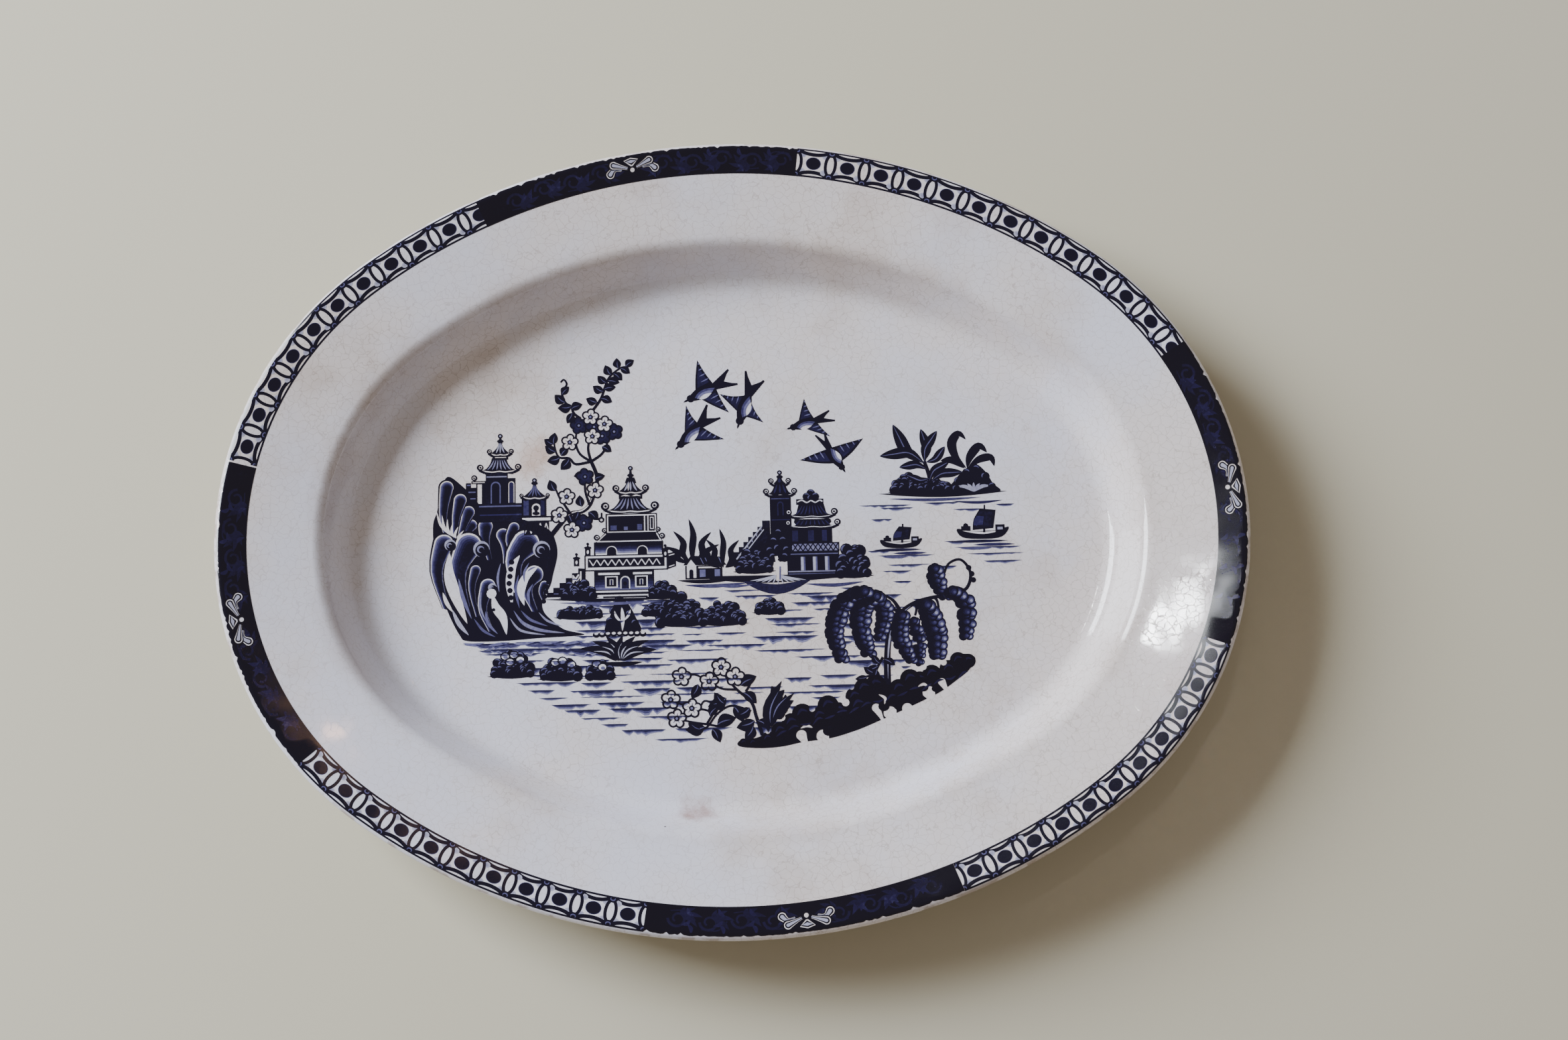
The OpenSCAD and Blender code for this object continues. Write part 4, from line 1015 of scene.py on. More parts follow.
pagoda += [(1.0, [(-27.2, -12), (-23.6, -10.8), (-23.6, -4.6), (-27.2, -5.4)]),
           (1.0, box(-61.6, -12.2, -27, -5.4)), (0.0, box(-61.1, -6.7, -27.5, -5.8)),
           (0.0, box(-61.1, -11.7, -27.5, -10.6)), (0.0, box(-61.1, -11.7, -60.2, -5.8)),
           (0.0, box(-28.4, -11.7, -27.5, -5.8))]
zigzag = [(-59.6 + i * 1.55, -9.9 if i % 2 else -7.4) for i in range(20)]
pagoda += bars(list(zip(zigzag, zigzag[1:])), 0.5)
pagoda += bars([((-26.6, -6.2), (-24.2, -5.6)), ((-26.6, -11), (-24.2, -10.2))], 0.5)
for x, y in ((-60.2, -2.6), (-64.9, -6.9), (-28, -4)):
    pagoda += [(1.0, box(x - 1.1, y - 3, x + 1.1, y)), (0.0, disc(x, y - 1.4, 0.55, 0.9, 8)),
               (1.0, disc(x, y + 0.4, 1.6, 0.6, 10)), (1.0, ribbon([(x, y), (x, y + 2)], 0.9, 0.4)),
               (1.0, disc(x, y + 2, 0.6, n=8))]
pagoda += [(1.0, box(-57.6, -20.6, -32.8, -12))] + fade(-57.2, -20.2, -33.2, -12.6, 1.0, 0.45)
pagoda += [(0.0, box(-56, -13.9, -47, -12.9)), (0.0, box(-41.6, -13.9, -33.6, -12.9))]
for x in (-52.6, -40.2):
    pagoda += [(0.0, box(x - 0.6, -19.4, x + 4.8, -14.4)), (1.0, box(x + 0.1, -18.8, x + 4.1, -14.9)),
               (0.0, box(x + 1.3, -18.2, x + 2.9, -15.8)), (0.8, box(x + 1.7, -18.2, x + 2.5, -16))]
pagoda += openings([-44.8], -19.8, 3, 4.8, 0.85, 0.6) + [(1.0, disc(-44.8, -17.6, 0.9, n=8))]
pagoda += [(0.0, box(-57.4, -21.3, -32.6, -20.5)), (1.0, box(-58.6, -22.2, -31.6, -21.3)),
           (0.0, box(-53, -22.9, -36.6, -22.2)), (1.0, box(-54, -23.6, -35.6, -22.9))]
stair = [(-77.2, -22.8)]
stair += [(-77.2 + (i + 1) // 2 * 2.6, -22.8 + (i + 2) // 2 * 2.0) for i in range(11)]
stair += [(-61.2, -11), (-61.2, -22.8)]
pagoda += [(1.0, stair), (0.4, [(-68, -22.2), (-61.8, -22.2), (-61.8, -16)]),
           (0.0, ribbon([(-70.6, -22.4), (-64, -13.4)], 0.8)),
           (0.0, ribbon([(-66.4, -20.4), (-66.4, -13.6)], 0.6)),
           (0.0, ribbon([(-63.2, -19), (-63.2, -12)], 0.7))]
pagoda += bars([((-66.2, -19), (-63.4, -14)), ((-66.2, -14), (-63.4, -19))], 0.5)
pagoda += [(0.5, box(-74.4 + i * 2.6, -21.6 + i * 2, -72.4 + i * 2.6, -21.2 + i * 2)) for i in range(4)]
pagoda += bush(-71, -57, -23.4, 7.4, 2.0, rnd) + bush(-35, -24, -23.8, 6.4, 2.0, rnd)
pagoda += [(1.0, sickle([(-79, -23.6), (-52, -24.4), (-22, -24)], 1.2)),
           (0.5, sickle([(-72, -25.2), (-50, -26), (-30, -25.4)], 1.2))]
lay("print_pagoda", pagoda, 0.09)

# ---------------------------------------------------------------- hut
# A low gabled hut by the water's edge under a clump of flame-shaped leaves.
def flames(x, y, h):
    """Wavy leaves rising from one root, the middle ones tallest, their tips flung outward."""
    out = []
    for lean, size in ((-0.66, 0.4), (0.62, 0.42), (-0.44, 0.74), (0.42, 0.7), (-0.03, 1.0)):
        side = -1 if lean < 0 else 1
        path = [(x + lean * 2, y), (x + lean * h * 0.5, y + size * h * 0.3),
                (x + lean * h * 0.55 - side * h * 0.03, y + size * h * 0.66),
                (x + lean * h * 0.85 + side * h * 0.05, y + size * h)]
        out.append((1.0, sickle(path, h * 0.155)))
    return out


hut = flames(-16.5, -10, 19)
hut += [(1.0, [(-20.6, -10.6), (-17.4, -6.6), (-5.4, -7.2), (-2.6, -10.8)]),
        (0.0, [(-19.4, -11), (-17.4, -8.2), (-15.2, -11)])]
hut += bars([((-13.4 + i * 1.9, -7.6), (-12.2 + i * 1.9, -10.2)) for i in range(5)], 0.3, 0.4)
hut += [(1.0, box(-19.8, -16.6, -4.4, -10.8)), (0.0, box(-19.2, -16, -15.2, -10.8)),
        (0.0, box(-14.4, -12, -5, -11.3))]
hut += [(1.0, arch(-17.3, -16, 1.7, 3.6)), (0.4, box(-13.8, -15.8, -11.4, -12.6)),
        (0.4, box(-7.6, -15.8, -5.4, -12.6))]
hut += [(1.0, sickle([(-23, -17), (-12, -17.6), (2, -16.8)], 1.7)),
        (0.6, sickle([(-20, -19), (-8, -19.6), (6, -18.6)], 1.6))]
lay("print_hut", hut, 0.04)

# ---------------------------------------------------------------- swallows
# Five swallows wheeling over the water, dark above with pale bellies and forked tails.
def swallow(head, wing_a, wing_b, tail_a, tail_b):
    """Bird from the places of its beak, wing tips and tail tips."""
    hx, hy = head
    tx, ty = (tail_a[0] + tail_b[0]) / 2, (tail_a[1] + tail_b[1]) / 2
    mid = (hx + (tx - hx) * 0.34, hy + (ty - hy) * 0.34)
    hip = (hx + (tx - hx) * 0.6, hy + (ty - hy) * 0.6)
    size = math.hypot(tx - hx, ty - hy)
    out = []
    for tip in (tail_a, tail_b):
        out.append((1.0, swell([hip, ((hip[0] + tip[0]) / 2, (hip[1] + tip[1]) / 2), tip],
                               lambda u: size * 0.075 * (1 - 0.75 * u))))
    notch = ((hip[0] + tx) / 2, (hip[1] + ty) / 2)
    out.append((1.0, [hip, tail_a, notch, tail_b]))
    for tip in (wing_a, wing_b):
        far_out = math.dist(mid, tip)
        ahead = ((hx - tx) / size * far_out, (hy - ty) / size * far_out)
        middle = ((mid[0] + tip[0]) / 2, (mid[1] + tip[1]) / 2)
        front = curve([((hx + mid[0]) / 2, (hy + mid[1]) / 2),
                       (middle[0] + ahead[0] * 0.16, middle[1] + ahead[1] * 0.16), tip], 6)
        rear = curve([tip, (middle[0] - ahead[0] * 0.17, middle[1] - ahead[1] * 0.17), hip], 6)
        wing = front + rear[1:]
        out += [(1.0, wing), (0.82, toward(wing, middle, 0.4))]
        for k in (2, 4, 6, 8):
            (x, y), (fx, fy) = rear[k], front[12 - k]
            out += [(0.4, leaf(x, y, math.degrees(math.atan2(fy - y, fx - x)),
                               math.dist((x, y), (fx, fy)) * 0.6, 0.5))]
    a = math.degrees(math.atan2(ty - hy, tx - hx))
    out.append((1.0, leaf(hx, hy, a, size * 0.74, size * 0.25)))
    side = 1 if (wing_a[0] - hx) * (ty - hy) > (wing_a[1] - hy) * (tx - hx) else -1
    bx, by = -(ty - hy) * 0.03 * side, (tx - hx) * 0.03 * side
    for k, tone in enumerate((0.6, 0.35, 0.0)):
        out.append((tone, leaf(hx + (tx - hx) * (0.14 + 0.03 * k) + bx * (1 + k),
                               hy + (ty - hy) * (0.14 + 0.03 * k) + by * (1 + k), a,
                               size * (0.44 - 0.08 * k), size * (0.15 - 0.03 * k))))
    out.append((1.0, disc(hx + (tx - hx) * 0.06, hy + (ty - hy) * 0.06, size * 0.08, n=10)))
    out.append((1.0, leaf(hx + (tx - hx) * 0.02, hy + (ty - hy) * 0.02, a + 180, size * 0.12, 0.9)))
    return out


birds = []
for bird in (((-17.3, 60.4), (-13.1, 77.8), (-0.1, 54.5), (0, 73.4), (3.8, 66.9)),
             ((3.9, 49.5), (-3.9, 62.7), (14.3, 49.8), (7.3, 72.6), (15, 68.1)),
             ((-21.6, 40.4), (-18.2, 58.1), (-2.3, 43), (-9.3, 58.2), (-3.8, 52.3)),
             ((25.7, 47.2), (31.6, 59.8), (42.3, 43.1), (42.1, 54.4), (44.4, 50)),
             ((47.1, 28.9), (29.1, 33.1), (55.9, 41.9), (35.9, 43.8), (39.8, 44.3))):
    birds += swallow(*bird)
lay("print_swallows", birds, 0.04)

# ---------------------------------------------------------------- far pavilion
# The opposite shore: a slim tower, a wide pavilion on an arcade, a stepped wall down to the
# water and trees at either side, all on one long waterline.
far = flames(-4, -12, 16.6)
far += finial(20.4, 25.4, 2.6) + roof(20.3, 23, 3.0, 0.8, 3, 1, 1.2, 0.7, 0.25)
far += roof(20.4, 18.4, 5.2, 2.2, 5.2, 3, 1.3, 0.72, 0.3)
far += [(1.0, box(16, 0.4, 24.8, 18.4)), (0.78, arch(20.4, 9.6, 2.6, 6)), (1.0, arch(20.4, 9.6, 1.7, 5.4)),
        (0.6, box(16.6, 16.6, 24.2, 17)), (0.7, box(16.6, 7.6, 24.2, 7.9))]
far += foliage([(31.4, 17.4, 1.7), (35, 17.4, 1.7), (33.2, 18.8, 1.8), (33.2, 16.8, 1.6)])
far += [(1.0, box(27, 14, 38.4, 16.4)),
        (0.0, ribbon(curve([(27.4, 15.2), (29.4, 15.9), (31.4, 14.9), (33.2, 15.7), (35, 14.9),
                            (36.8, 15.8), (38, 15.2)], 4), 0.55))]
far += roof(33.2, 9, 8.8, 5.2, 5.4, 8, 1.5, 0.72, 0.35) + roof(33.6, 4.6, 9.6, 7.4, 3.2, 8, 1.4, 0.72, 0.35)
far += [(1.0, box(22.4, -2.6, 41.6, 4.2)), (0.8, box(25, -1.6, 27.4, 3)), (0.8, box(31.6, -1.6, 34, 3)),
        (0.75, box(37.4, -1.6, 39.4, 3))]
far += [(1.0, box(22.4, -6.2, 44.4, -2.2)), (0.35, box(22.8, -5.7, 44, -2.7))]
far += bars([((23 + i * 2.1, -5.8), (25.1 + i * 2.1, -2.6)) for i in range(10)]
            + [((25.1 + i * 2.1, -5.8), (23 + i * 2.1, -2.6)) for i in range(10)], 0.5, 1.0)
far += [(1.0, box(22.6, -17.4, 44.2, -6.2)), (0.45, box(23, -7.2, 43.8, -6.8)),
        (0.55, box(23, -16.6, 43.8, -15.2)), (0.3, box(23, -14.6, 43.8, -14.1))]
for x in (29.2, 34.2, 39.2):
    far += [(0.12, box(x - 0.9, -14, x + 0.9, -8.2)), (0.5, box(x + 0.2, -14, x + 0.9, -8.2))]
wall_down = [(15.8, 7.6), (12.6, 7.6), (12.6, 5)]
wall_down += [(12.6 - (i + 1) // 2 * 2.0, 5 - (i // 2) * 2.1) for i in range(1, 12)]
wall_down += [(0.4, -8), (0.4, -12), (15.8, -12)]
far += [(0.96, wall_down), (0.1, ribbon([(1.6, -8.6), (12.4, 5.2)], 0.55)),
        (0.1, ribbon([(3, -9), (13.2, 3.8)], 0.4))]
far += bars([((2.6 + i * 1.9, -8.6 + i * 2.4), (2.6 + i * 1.9, -6.6 + i * 2.4)) for i in range(6)], 0.35,
            0.3)
rnd = random.Random(21)
far += bush(1.4, 16.4, -14, 9.4, 2.2, rnd) + bush(43, 57, -16.8, 13.6, 2.6, rnd)
far += [(1.0, sickle([(-14, -15.8), (14, -17.2), (58, -15.8)], 3.2)),
        (0.85, sickle([(4, -18), (18, -21.6), (32, -18)], 4.2))]
far += [(0.1, sickle([(18.6, -15.4), (18.6 + (i - 5) * 1.1, -17),
                      (18.6 + (i - 5) * 2.3, -19.6 + abs(i - 5) * 0.35)], 0.7, 3)) for i in range(11)]
far += [(1.0, blob([(18.6, 4.4), (22.4, 1.4), (24.8, -3.2), (23.4, -8.4), (19.8, -10), (15.6, -8.6),
                    (13.4, -4), (15.2, 0.6)]))]
far += foliage([(15.6, -5.6, 2.1), (22.6, -5.4, 2.1), (17, -1.6, 2.1), (21, -1.4, 2.1), (19, 2, 2),
                (19, -4.6, 2.2), (16.8, -8.2, 2), (21.4, -8.2, 2)])
far += [(0.0, ribbon([(18.8, -18), (18.9, -12), (18, -7.6)], 2.2, 1.3)),
        (1.0, ribbon([(18.8, -9.4), (20.8, -7)], 0.6)), (0.5, ribbon([(19.4, -17.6), (19.6, -12)], 0.6))]
far += [(0.6, sickle([(30, -19.6), (42, -20.4), (54, -19.2)], 1.5)),
        (0.55, sickle([(-8, -19.4), (0, -20), (8, -19.4)], 1.2))]
lay("print_far_pavilion", far, 0.06)

# ---------------------------------------------------------------- island
# A low island of bushes and one dark mound with two clumps of long curling leaves.
rnd = random.Random(31)
isle = bush(67, 79.6, 18.2, 8, 2.2, rnd) + bush(78, 92, 18, 5.6, 2.0, rnd)
isle += [(1.0, blob([(91.4, 17.6), (93.6, 23), (98, 27.4), (102.4, 29.8), (106.4, 26.6), (109.4, 21.4),
                     (111.6, 17.6)]))]
isle += [(0.2, sickle([(101.4, 17.8), (101.4 + (i - 3) * 1.3, 20),
                       (101.4 + (i - 3) * 2.6, 21.8 - abs(i - 3) * 0.5)], 1.1, 3)) for i in range(7)]
isle += foliage([(95, 22.6, 1.8), (98.6, 26, 1.9), (102.6, 27.4, 2), (106.4, 24.4, 1.9), (109, 20, 1.7),
                 (94, 19.4, 1.7)])
isle += [(1.0, sickle([(61.6, 17.8), (88, 16.8), (115, 17.8)], 1.9)),
         (0.6, sickle([(66, 15.6), (84, 14.8), (104, 15.4)], 1.3)),
         (0.75, sickle([(92, 14), (103, 13.2), (113, 14)], 1.2))]
isle += twig([(83.5, 20), (83, 25), (81.1, 31.5)], 2.0, 1.5)
for tx, ty, rx, ry, sway in ((68.6, 47.6, 81, 31, 0.14), (80.2, 45.4, 81.1, 31.5, -0.14),
                             (87, 44.4, 81.4, 31, 0.14), (90, 37.6, 82, 31, -0.16),
                             (62.6, 34, 81, 30.6, -0.2), (70.6, 29, 82, 28, -0.16),
                             (91.6, 31, 83, 23, 0.16), (97, 26.4, 84, 23, 0.14),
                             (73.6, 25.6, 83, 24, 0.16)):
    wide, bow = math.dist((tx, ty), (rx, ry)) * 0.17 + 1.8, sway * 0.9
    path = [(rx, ry), (rx + (tx - rx) * 0.36 - (ty - ry) * bow, ry + (ty - ry) * 0.36 + (tx - rx) * bow),
            (rx + (tx - rx) * 0.72 - (ty - ry) * bow * 0.5, ry + (ty - ry) * 0.72 + (tx - rx) * bow * 0.5),
            (tx, ty)]
    isle += [(1.0, sickle(path, wide)), (0.5, sickle(path, 0.45))]
for line, width in (([(98.7, 28), (94.4, 33), (93, 39), (96, 43), (99, 40.4)], 4.0),
                    ([(99, 28), (100.4, 33), (104.4, 37.4), (107.6, 34.6)], 3.8),
                    ([(99.4, 28), (104, 31.6), (109, 32.4), (110.4, 28.6)], 3.4),
                    ([(98, 28), (93, 31.6), (88, 31.4)], 3.2)):
    isle += [(1.0, sickle(line, width))]
lay("print_island", isle, 0.04)

# ---------------------------------------------------------------- boats
# Two sailing boats: a heavy curved hull, a leaning dark sail, a cabin, and the short strokes
# of their reflections.
def boat(x, y, w, h):
    """Boat w long on the water at (x, y) with its mast h high."""
    hull = blob([(x - w / 2, y + w * 0.08), (x - w * 0.2, y + w * 0.03), (x + w * 0.25, y + w * 0.04),
                 (x + w / 2, y + w * 0.1), (x + w * 0.36, y - w * 0.09), (x, y - w * 0.13),
                 (x - w * 0.4, y - w * 0.09)], 4)
    strake = sickle([(x - w * 0.42, y + w * 0.045), (x, y - w * 0.01), (x + w * 0.42, y + w * 0.05)],
                    w * 0.045)
    mast = ribbon([(x + w * 0.02, y), (x + w * 0.05, y + h * 1.15)], 0.9, 0.6)
    sail = curve([(x - w * 0.2, y + w * 0.05), (x - w * 0.17, y + h * 0.55), (x - w * 0.04, y + h)], 4)
    sail += [(x + w * 0.26, y + h * 0.93), (x + w * 0.2, y + w * 0.08)]
    out = [(1.0, hull), (0.0, strake), (1.0, mast), (1.0, sail),
           (0.93, toward(sail, (x - w * 0.04, y + h * 0.5), 0.2)),
           (0.7, toward(sail, (x - w * 0.16, y + h * 0.45), 0.55)),
           (1.0, box(x + w * 0.24, y, x + w * 0.42, y + w * 0.15)),
           (0.2, box(x + w * 0.28, y + w * 0.05, x + w * 0.38, y + w * 0.1)),
           (1.0, box(x - w * 0.42, y + w * 0.04, x - w * 0.24, y + w * 0.13)),
           (1.0, disc(x - w * 0.33, y + w * 0.14, w * 0.05, n=8))]
    for i, (k, size) in enumerate(((-0.1, 1.15), (0.2, 0.8), (-0.15, 0.6))):
        out.append((0.85 - 0.15 * i, sickle([(x + w * (k - size / 2), y - w * 0.17 - i * 1.5),
                                             (x + w * (k + size / 2), y - w * 0.17 - i * 1.5)], 1.3)))
    return out


lay("print_large_boat", boat(104.4, 0.4, 21.6, 10.2), 0.05)
lay("print_small_boat", boat(70.2, -3.2, 17.4, 7.0), 0.05)

# ---------------------------------------------------------------- willow
# A willow bending over from the right bank, its foliage in hanging bunches of scalloped
# lobes that are dark on the left and catch the light on the right.
def bunch(points, width, rnd):
    """Foliage hanging along points, scallop over scallop, smaller toward the tip."""
    line = curve(points, 6)
    run = lengths(line)
    rows = round(run[-1] / 2.5)
    out = [(1.0, petal([points[-1]] + points[-2::-1], width * 0.7, 0.4))]
    for i in range(rows, -1, -1):
        u = i / rows
        at = min(range(len(line)), key=lambda k: abs(run[k] - u * run[-1]))
        half = width * 0.3 * min(1.0, 0.6 + 1.4 * u) * (1 - 0.45 * u * u)
        for k in (-1, 1, 0):
            x, y = line[at][0] + k * half + rnd.uniform(-0.3,
                                                        0.3), line[at][1] - abs(k) * 0.7 + rnd.uniform(-0.4,
                                                                                                       0.4)
            r = width * 0.23 * (1.1 - 0.3 * u) + 0.3
            out.append((1.0, disc(x, y, r, n=12)))
            if k >= 0:
                out += [(0.9 - 0.15 * k, disc(x + r * 0.12, y - r * 0.05, r * 0.76, n=11)),
                        (0.76 - 0.25 * k, disc(x + r * 0.22, y - r * 0.12, r * 0.5, n=10)),
                        (0.6 - 0.4 * k, disc(x + r * 0.3, y - r * 0.2, r * 0.26, n=8))]
    return out


rnd = random.Random(7)
willow = [(1.0, ribbon(curve([(62.3, -64.5), (62.4, -55), (63.1, -45.3), (65, -38.9), (69.1, -32.6),
                              (74.8, -28.7), (82.8, -26.5), (90, -26)], 5), 3.0, 1.3))]
willow += [(0.25, sickle([(62.6, -60), (63, -50), (64.6, -40.6), (68.4, -34), (73, -30)], 0.8))]
for line, width in (([(90, -26), (96.5, -23), (98.3, -16.4), (94.6, -11), (89.4, -12.6), (87, -18)], 1.5),
                    ([(82.8, -26.5), (84, -28), (84.6, -31)], 1.3),
                    ([(74.8, -28.7), (75.4, -31), (74.7, -34)], 1.3),
                    ([(69, -32.6), (66, -27.6), (62, -25)], 1.8), ([(69, -33), (62, -29), (56, -29)], 1.6),
                    ([(60.8, -51), (59, -54), (56.6, -58), (53, -59)], 1.2)):
    willow += twig(line, width, 0.9)
for points, width in (([(84, -14), (84.6, -20), (87.6, -25.4)], 7.6),
                      ([(91, -24), (95, -27), (96, -34), (95.4, -42.4)], 8.4),
                      ([(79.6, -29), (82, -35), (83.4, -43), (83.2, -50.4)], 9.4),
                      ([(74, -36), (76, -43), (76, -53)], 5.6),
                      ([(69.4, -33.6), (68, -41), (70, -47), (72.6, -52)], 7.6),
                      ([(60, -25.6), (62.2, -31), (61.6, -36), (60, -41.6)], 7.6),
                      ([(58.6, -25), (53.4, -29), (52.2, -38), (55, -48.6)], 9.0),
                      ([(54, -23.4), (47, -25.4), (42.6, -33), (41.4, -42), (44, -50.4)], 8.8)):
    willow += bunch(points, width, rnd)
willow += [(1.0, disc(98.2 + 1.2 * math.cos(i), -17 + 2.6 * (i - 1), 1.2, n=9)) for i in range(3)]
willow += leaves([(58.6, -54.6, 200, 5.6), (57, -57.4, 150, 5), (58, -56, 250, 5.6), (61.4, -52, 330, 5),
                  (54, -59, 190, 5), (59.4, -53.6, 130, 5)])
lay("print_willow", willow, 0.04)

# ---------------------------------------------------------------- hedge
# A dense dark hedge along the near right bank: curled scallops above, cut below to the oval of
# the well, with bare bites where the leaves roll back.
hedge = [(1.0, blob([(98.6, -52), (92, -50.6), (84, -56.4), (76, -58.4), (68, -61), (60, -63), (50, -64),
                     (43, -70.6), (33, -73.4), (24, -74.6), (16, -79.6), (8, -83), (1.2, -84), (1, -86.4),
                     (10, -87.3), (18.6, -86.8), (27, -85.2), (38.6, -83.8), (48, -81.2), (54, -79),
                     (66.4, -73.8), (76, -69.6), (84, -65.8), (91, -61), (96, -57)], 5))]
for x, y, r in ((95.8, -53.4, 3.0), (91.6, -53, 3.4), (87.4, -56.4, 3.6), (80.6, -58.6, 4.0),
                (75.6, -60.6, 3.4), (71.6, -60.4, 4.2), (66.8, -64.2, 4.0), (57.4, -62.6, 4.4),
                (52.6, -63.8, 4.2), (48.6, -67, 3.8), (50, -70.6, 4.4), (42, -72.6, 3.4),
                (37.6, -70.6, 4.4), (34, -74.8, 4.0), (27, -73.8, 4.4), (22.4, -77.2, 4.0),
                (17.6, -80.4, 3.6), (12.4, -83.4, 2.6), (6.4, -85, 1.9), (2.6, -84.8, 1.7)):
    hedge.append((1.0, disc(x, y, r, n=18)))
    hedge.append((0.74, sickle([(x - r * 0.5, y - r * 0.15), (x - r * 0.1, y + r * 0.4),
                                (x + r * 0.5, y + r * 0.25)], r * 0.26, 4)))
for x, y, r in ((78.6, -65.6, 2.7), (62.4, -73.6, 2.8), (34.6, -82.4, 2.7), (57, -71.6, 1.8),
                (26, -82, 2.2), (69.6, -72, 2.2), (84.4, -61.6, 1.6)):
    hedge.append((0.0, petal([(x + 3, y - 6), (x + 1.6, y - 3), (x - 0.6, y + r * 0.7)], r * 2)))
for x, y, r in ((76.8, -63.8, 2.2), (60.4, -71.4, 2.3), (37.4, -81, 2.3), (81.8, -64.6, 1.6),
                (66.2, -71.4, 1.8), (31, -80, 1.7), (54.8, -75.4, 1.9)):
    hedge.append((1.0, disc(x, y, r, r * 0.85, 14)))
for x, y, r in ((31, -71.6, 1.3), (44.8, -69.4, 1.6), (62.6, -60.4, 1.2), (77.2, -55.4, 1.4),
                (85.6, -53.8, 1.3), (47.4, -63, 1.2), (18.6, -75, 1.4), (12.6, -80.4, 1.1)):
    hedge.append((0.0, disc(x, y, r, n=12)))
for line in ([(58.4, -66.4), (61, -68), (60.6, -70.6)], [(74.6, -63.6), (77, -62.6), (78.8, -63.6)],
             [(26, -79.6), (28.6, -78.6), (31, -79.4)]):
    hedge.append((0.0, sickle(line, 1.2)))
for i in range(16):
    x = 16 + i * 5
    hedge.append((0.72, sickle([(x, -82.8 + (x - 16) * 0.29 + (i % 3)),
                                (x + 2.4, -81 + (x - 16) * 0.29 + (i % 2)),
                                (x + 4.4, -81.6 + (x - 12) * 0.3)], 0.9, 3)))
lay("print_hedge", hedge, 0.06, dark_cobalt)

# ---------------------------------------------------------------- flower spray
# A spray of the same blossom trailing from the near bank, with heart-shaped leaves, and a
# tall pair of leaves beside it.
spray = twig([(10.4, -82), (8, -74), (6.2, -68.4), (0, -62.6), (-4.4, -57)], 1.5, 1.0)
for line in ([(0, -63), (-6, -62.4), (-10.9, -59.3), (-17, -56.4), (-22.2, -57.2)],
             [(6, -72), (-2, -69.6), (-8, -73), (-12, -78), (-17, -79.6)],
             [(-8, -73), (-13, -71), (-18.2, -70.3), (-26.8, -66.6)],
             [(-12, -77), (-18, -76), (-24.4, -74.4)], [(-12, -77), (-6, -78), (-2, -76.6)],
             [(4, -64), (6, -60), (3, -57), (-0.2, -57.7)],
             [(-12, -76.6), (-8.6, -70), (-13, -67.4), (-15.6, -72)]):
    spray += twig(line, 1.0, 0.7)
spray += leaves([(-15.4, -60.4, 245, 6.6), (-4, -66.4, 205, 8.4), (-1, -70, 300, 7.4), (3, -64.4, 320, 7),
                 (2, -61.4, 30, 7.6), (5.6, -70.6, 215, 7), (7.4, -76, 200, 8), (6.8, -78, 240, 7),
                 (-13, -78, 188, 8), (-15, -79, 150, 5.6), (-8, -77.4, 20, 8.4), (-10, -79, 300, 6.4),
                 (-5, -68.6, 130, 6), (8.6, -76, 330, 6), (-11, -73.6, 50, 6)], 0.66)
for x, y, angle, size in ((12.8, -81, 74, 22), (14, -79, 55, 17)):
    spray += [(1.0, leaf(x, y, angle, size, size * 0.22, 0.12))]
    for k in (0.25, 0.38, 0.51, 0.64):
        at = (x + size * k * math.cos(math.radians(angle + 2)), y
              + size * k * math.sin(math.radians(angle + 2)))
        spray += [(1.0, leaf(*at, angle + 30, size * 0.26, size * 0.13)),
                  (1.0, leaf(*at, angle - 28, size * 0.24, size * 0.12))]
    spray += [(0.4, leaf(x + 1, y + 4, angle, size * 0.6, 0.5, 0.12))]
for x, y in ((-22.2, -57.2), (-10.9, -59.4), (-5.9, -53.6), (-0.2, -57.7), (-26.8, -66.6), (-18.2, -70.3),
             (-24.4, -74.4)):
    spray += flower(x, y, 3.9)
lay("print_flower_spray", spray, 0.09)

# ---------------------------------------------------------------- bushes
# Low bushes, a spiked plant and a small rock standing in the water of the foreground.
rnd = random.Random(13)
bushes = []
for x0, x1, base, crown, r in ((-73, -54.6, -31.6, 4.8, 1.9), (-31.8, -11.6, -35.6, 12.4, 2.4),
                               (-13.6, 4.6, -35.6, 9.4, 2.2), (9, 20.4, -31.4, 5.6, 1.9),
                               (-100.4, -83, -55.4, 10.4, 2.2), (-80, -63.6, -57, 8.8, 2.2),
                               (-61, -50, -57, 7.6, 2.1), (-37.6, -28, -31, 4, 1.8)):
    bushes += bush(x0, x1, base, crown, r, rnd)
for x, y in ((-94.6, -47), (-91, -46.4), (-88.4, -48.6), (-92.6, -49.4), (-74, -50), (-71, -49.4),
             (-67.4, -51), (-57, -51), (-54.6, -52.4)):
    bushes += [(1.0, disc(x, y, 2.1, 1.8, 12)), (0.0, disc(x, y, 1.6, 1.3, 11)),
               (0.4, disc(x + 0.2, y - 0.4, 0.9, 0.7, 9))]
bushes += [(1.0, blob([(-53.4, -37.6), (-51, -30.6), (-47.6, -22.8), (-43.6, -26.4), (-40.6, -32),
                       (-38.6, -37.8), (-46, -38.8)]))]
bushes += foliage([(-48, -25, 1.8), (-45.4, -27, 1.8), (-49.8, -29, 1.8), (-43.2, -30.6, 1.8),
                   (-51.2, -33.4, 1.8), (-41, -34.4, 1.7)])
bushes += [(0.0, sickle([(-46.2, -37.6), (-46, -32), (-46.4, -27.4)], 1.7)),
           (0.0, sickle([(-46, -33.6), (-43.6, -31), (-42.8, -28.6)], 1.1)),
           (0.0, sickle([(-46, -34.4), (-48.6, -31.6), (-49.4, -29)], 1.1))]
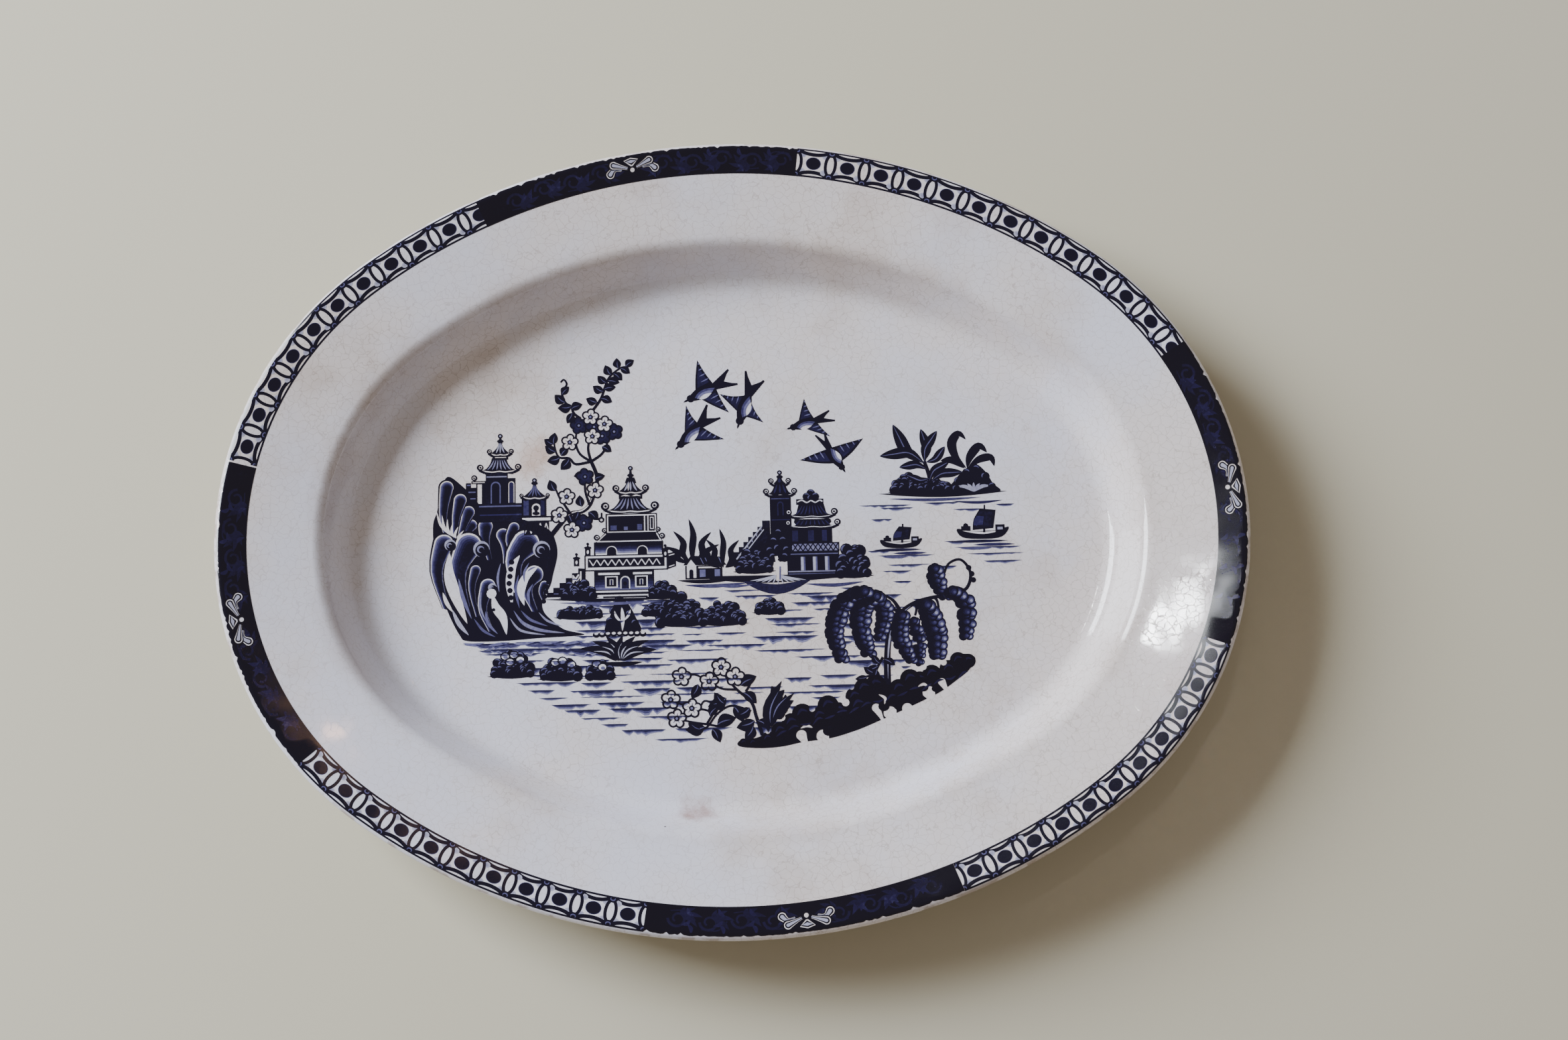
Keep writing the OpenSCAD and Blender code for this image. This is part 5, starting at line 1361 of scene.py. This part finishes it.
for i in range(9):
    bushes += [(1.0, disc(-57 + i * 2.4, -38.6 + abs(i - 4) * -0.1, 1.5, 1.2, 10)),
               (0.0, disc(-57 + i * 2.4, -38.4, 0.9, 0.6, 8))]
for lean, size, bendy in ((-70, 16.4, -0.16), (-50, 13.6, -0.2), (-26, 12, -0.16), (6, 11, 0.14),
                          (30, 12, 0.18), (52, 14, 0.2), (72, 14.6, 0.16)):
    bushes += [(1.0, leaf(-47.4 + lean * 0.02, -50.2, 90 - lean, size, 3.4, bendy)),
               (0.1, leaf(-47.4 + lean * 0.02, -49.2, 90 - lean, size * 0.6, 0.6, bendy))]
bushes += [(1.0, sickle([(-55, -50.6), (-47, -51.4), (-38, -50.6)], 2.0))]
lay("print_bushes", bushes, 0.05)

# ---------------------------------------------------------------- water
# Level ripples: flat-topped strokes, ragged and paler below, longer toward the near bank,
# ending at the print's own oval edge.
def ripple(x, y, length, depth, rnd):
    """One ripple: ragged wash, a deeper core and a firm top edge, nicked where it thins."""
    n = max(4, round(length / 1.7))
    drops = [depth * math.sin(math.pi * i / n) ** 0.7 * rnd.uniform(0.25, 1.0) for i in range(n + 1)]
    out = []
    for tone, part in ((0.3, 1.0), (0.58, 0.72), (0.84, 0.42)):
        low_edge = [(x + length * i / n, y - 0.1 - drops[i] * part) for i in range(1, n)]
        out.append((tone, [(x, y - 0.05)] + low_edge + [(x + length, y - 0.05),
                                                        (x + length * 0.7, y + 0.06),
                                                        (x + length * 0.3, y + 0.06)]))
    return out


def reach(y):
    """Half the width of the print's oval at height y."""
    return 124.0 * math.sqrt(max(0.0, 1 - (y / 85.5) ** 2))


rnd = random.Random(5)
ripples = []
y = -24.5
while y > -83:
    left = -reach(y) + 0.6
    right = 78.0 if y > -52 else 78 + (y + 52) * 2.4
    x = left if y < -41 else -66.0
    thick = 1.0 + 0.5 * math.sin(y * 0.7)
    while x < right:
        length = rnd.uniform(10, 30) if y < -40 else rnd.uniform(8, 22)
        length = min(length, right - x + 2)
        if length > 4 and rnd.random() < (0.92 if x < -30 else 0.72):
            ripples += ripple(x, y + rnd.uniform(-0.6, 0.6), length, rnd.uniform(1.5, 3.4) * thick, rnd)
        x += length + rnd.uniform(0.5, 7 if x < -30 else 12)
    y -= rnd.uniform(2.3, 3.4)
for x, y, length in ((-112, -41.6, 34), (-104, -44, 30), (-84, -42.4, 30), (-76, -45, 26)):
    ripples += ripple(x, y, length, 3.2, rnd)
for x, y, length in ((53, 13, 22), (62, 11.8, 14), (80, 13.6, 16), (92, 10.6, 14), (110, 12.4, 8),
                     (58, 7, 9), (56, -6.4, 10), (60, -8.4, 24), (92, -5.6, 28), (97, -8.4, 24),
                     (88, -3, 12), (64, -12.4, 18), (62, -15, 12), (104, -11.6, 16), (84, -13.4, 9),
                     (-4, -21.6, 16), (22, -23.4, 20), (44, -21.6, 14), (66, -19.4, 8)):
    ripples += ripple(x, y, length, 1.5, rnd)
lay("print_water", ripples, 0.01, pale_cobalt)

# ---------------------------------------------------------------- setting
# A pale plain tabletop, a broad soft window low to the upper left, small panes that glint in
# the glaze, and the camera looking almost straight down from the dish's front edge.
floor_mat, tree, shader = finish_as("pale_matt_tabletop")
shader.inputs["Base Color"].default_value = rgb("#d3cdb8")
shader.inputs["Roughness"].default_value = 0.9
floor = make("floor", [(*corner, 0) for corner in box(-4000, -4000, 4000, 4000)], [(0, 1, 2, 3)],
             sharp=None)
floor.data.materials.append(floor_mat)


def panel_light(name, where, at, size, power, colour, spread=180):
    """Soft rectangle of light at where, facing at, spread degrees wide."""
    lamp = bpy.data.lights.new(name, "AREA")
    lamp.shape = "RECTANGLE"
    lamp.size, lamp.size_y = size
    lamp.energy, lamp.color, lamp.spread = power, colour, math.radians(spread)
    obj = bpy.data.objects.new(name, lamp)
    obj.location = where
    obj.rotation_euler = (Vector(at) - Vector(where)).to_track_quat("-Z", "Y").to_euler()
    bpy.context.scene.collection.objects.link(obj)


panel_light("day_window", (-2.3, 1.25, 1.5), (0, 0, 0), (1.5, 1.5), 200.0, (0.86, 0.92, 1.0))
panel_light("window_pane", (-0.012, 0.32, 1.2), (0.169, -0.066, 0.027), (0.022, 0.06), 0.003,
            (0.94, 0.97, 1.0), 12)
panel_light("lamp", (-0.035, 0.377, 1.2), (-0.152, -0.078, 0.027), (0.012, 0.026), 0.00009,
            (1.0, 0.55, 0.32), 8)

world = bpy.data.worlds.new("warm_dim_room")
bpy.context.scene.world = world
world.use_nodes = True
backdrop = world.node_tree.nodes["Background"]
backdrop.inputs[0].default_value = (1.0, 0.87, 0.74, 1.0)
backdrop.inputs[1].default_value = 0.3

lens = bpy.data.cameras.new("camera")
lens.lens, lens.sensor_width = 50.0, 36.0
lens.shift_x, lens.shift_y = 0.0331, 0.0090
camera = bpy.data.objects.new("camera", lens)
tilt, roll, away = math.radians(78), math.radians(1.36), 0.896
back_dir = Vector((0, -math.cos(tilt), math.sin(tilt)))
camera.location = Vector((0, 0, 0.02)) + back_dir * away
side_dir = Vector((1, 0, 0))
up_dir = back_dir.cross(side_dir)
right = side_dir * math.cos(roll) - up_dir * math.sin(roll)
up = side_dir * math.sin(roll) + up_dir * math.cos(roll)
camera.rotation_euler = Matrix((right, up, back_dir)).transposed().to_euler()
bpy.context.scene.collection.objects.link(camera)
bpy.context.scene.camera = camera
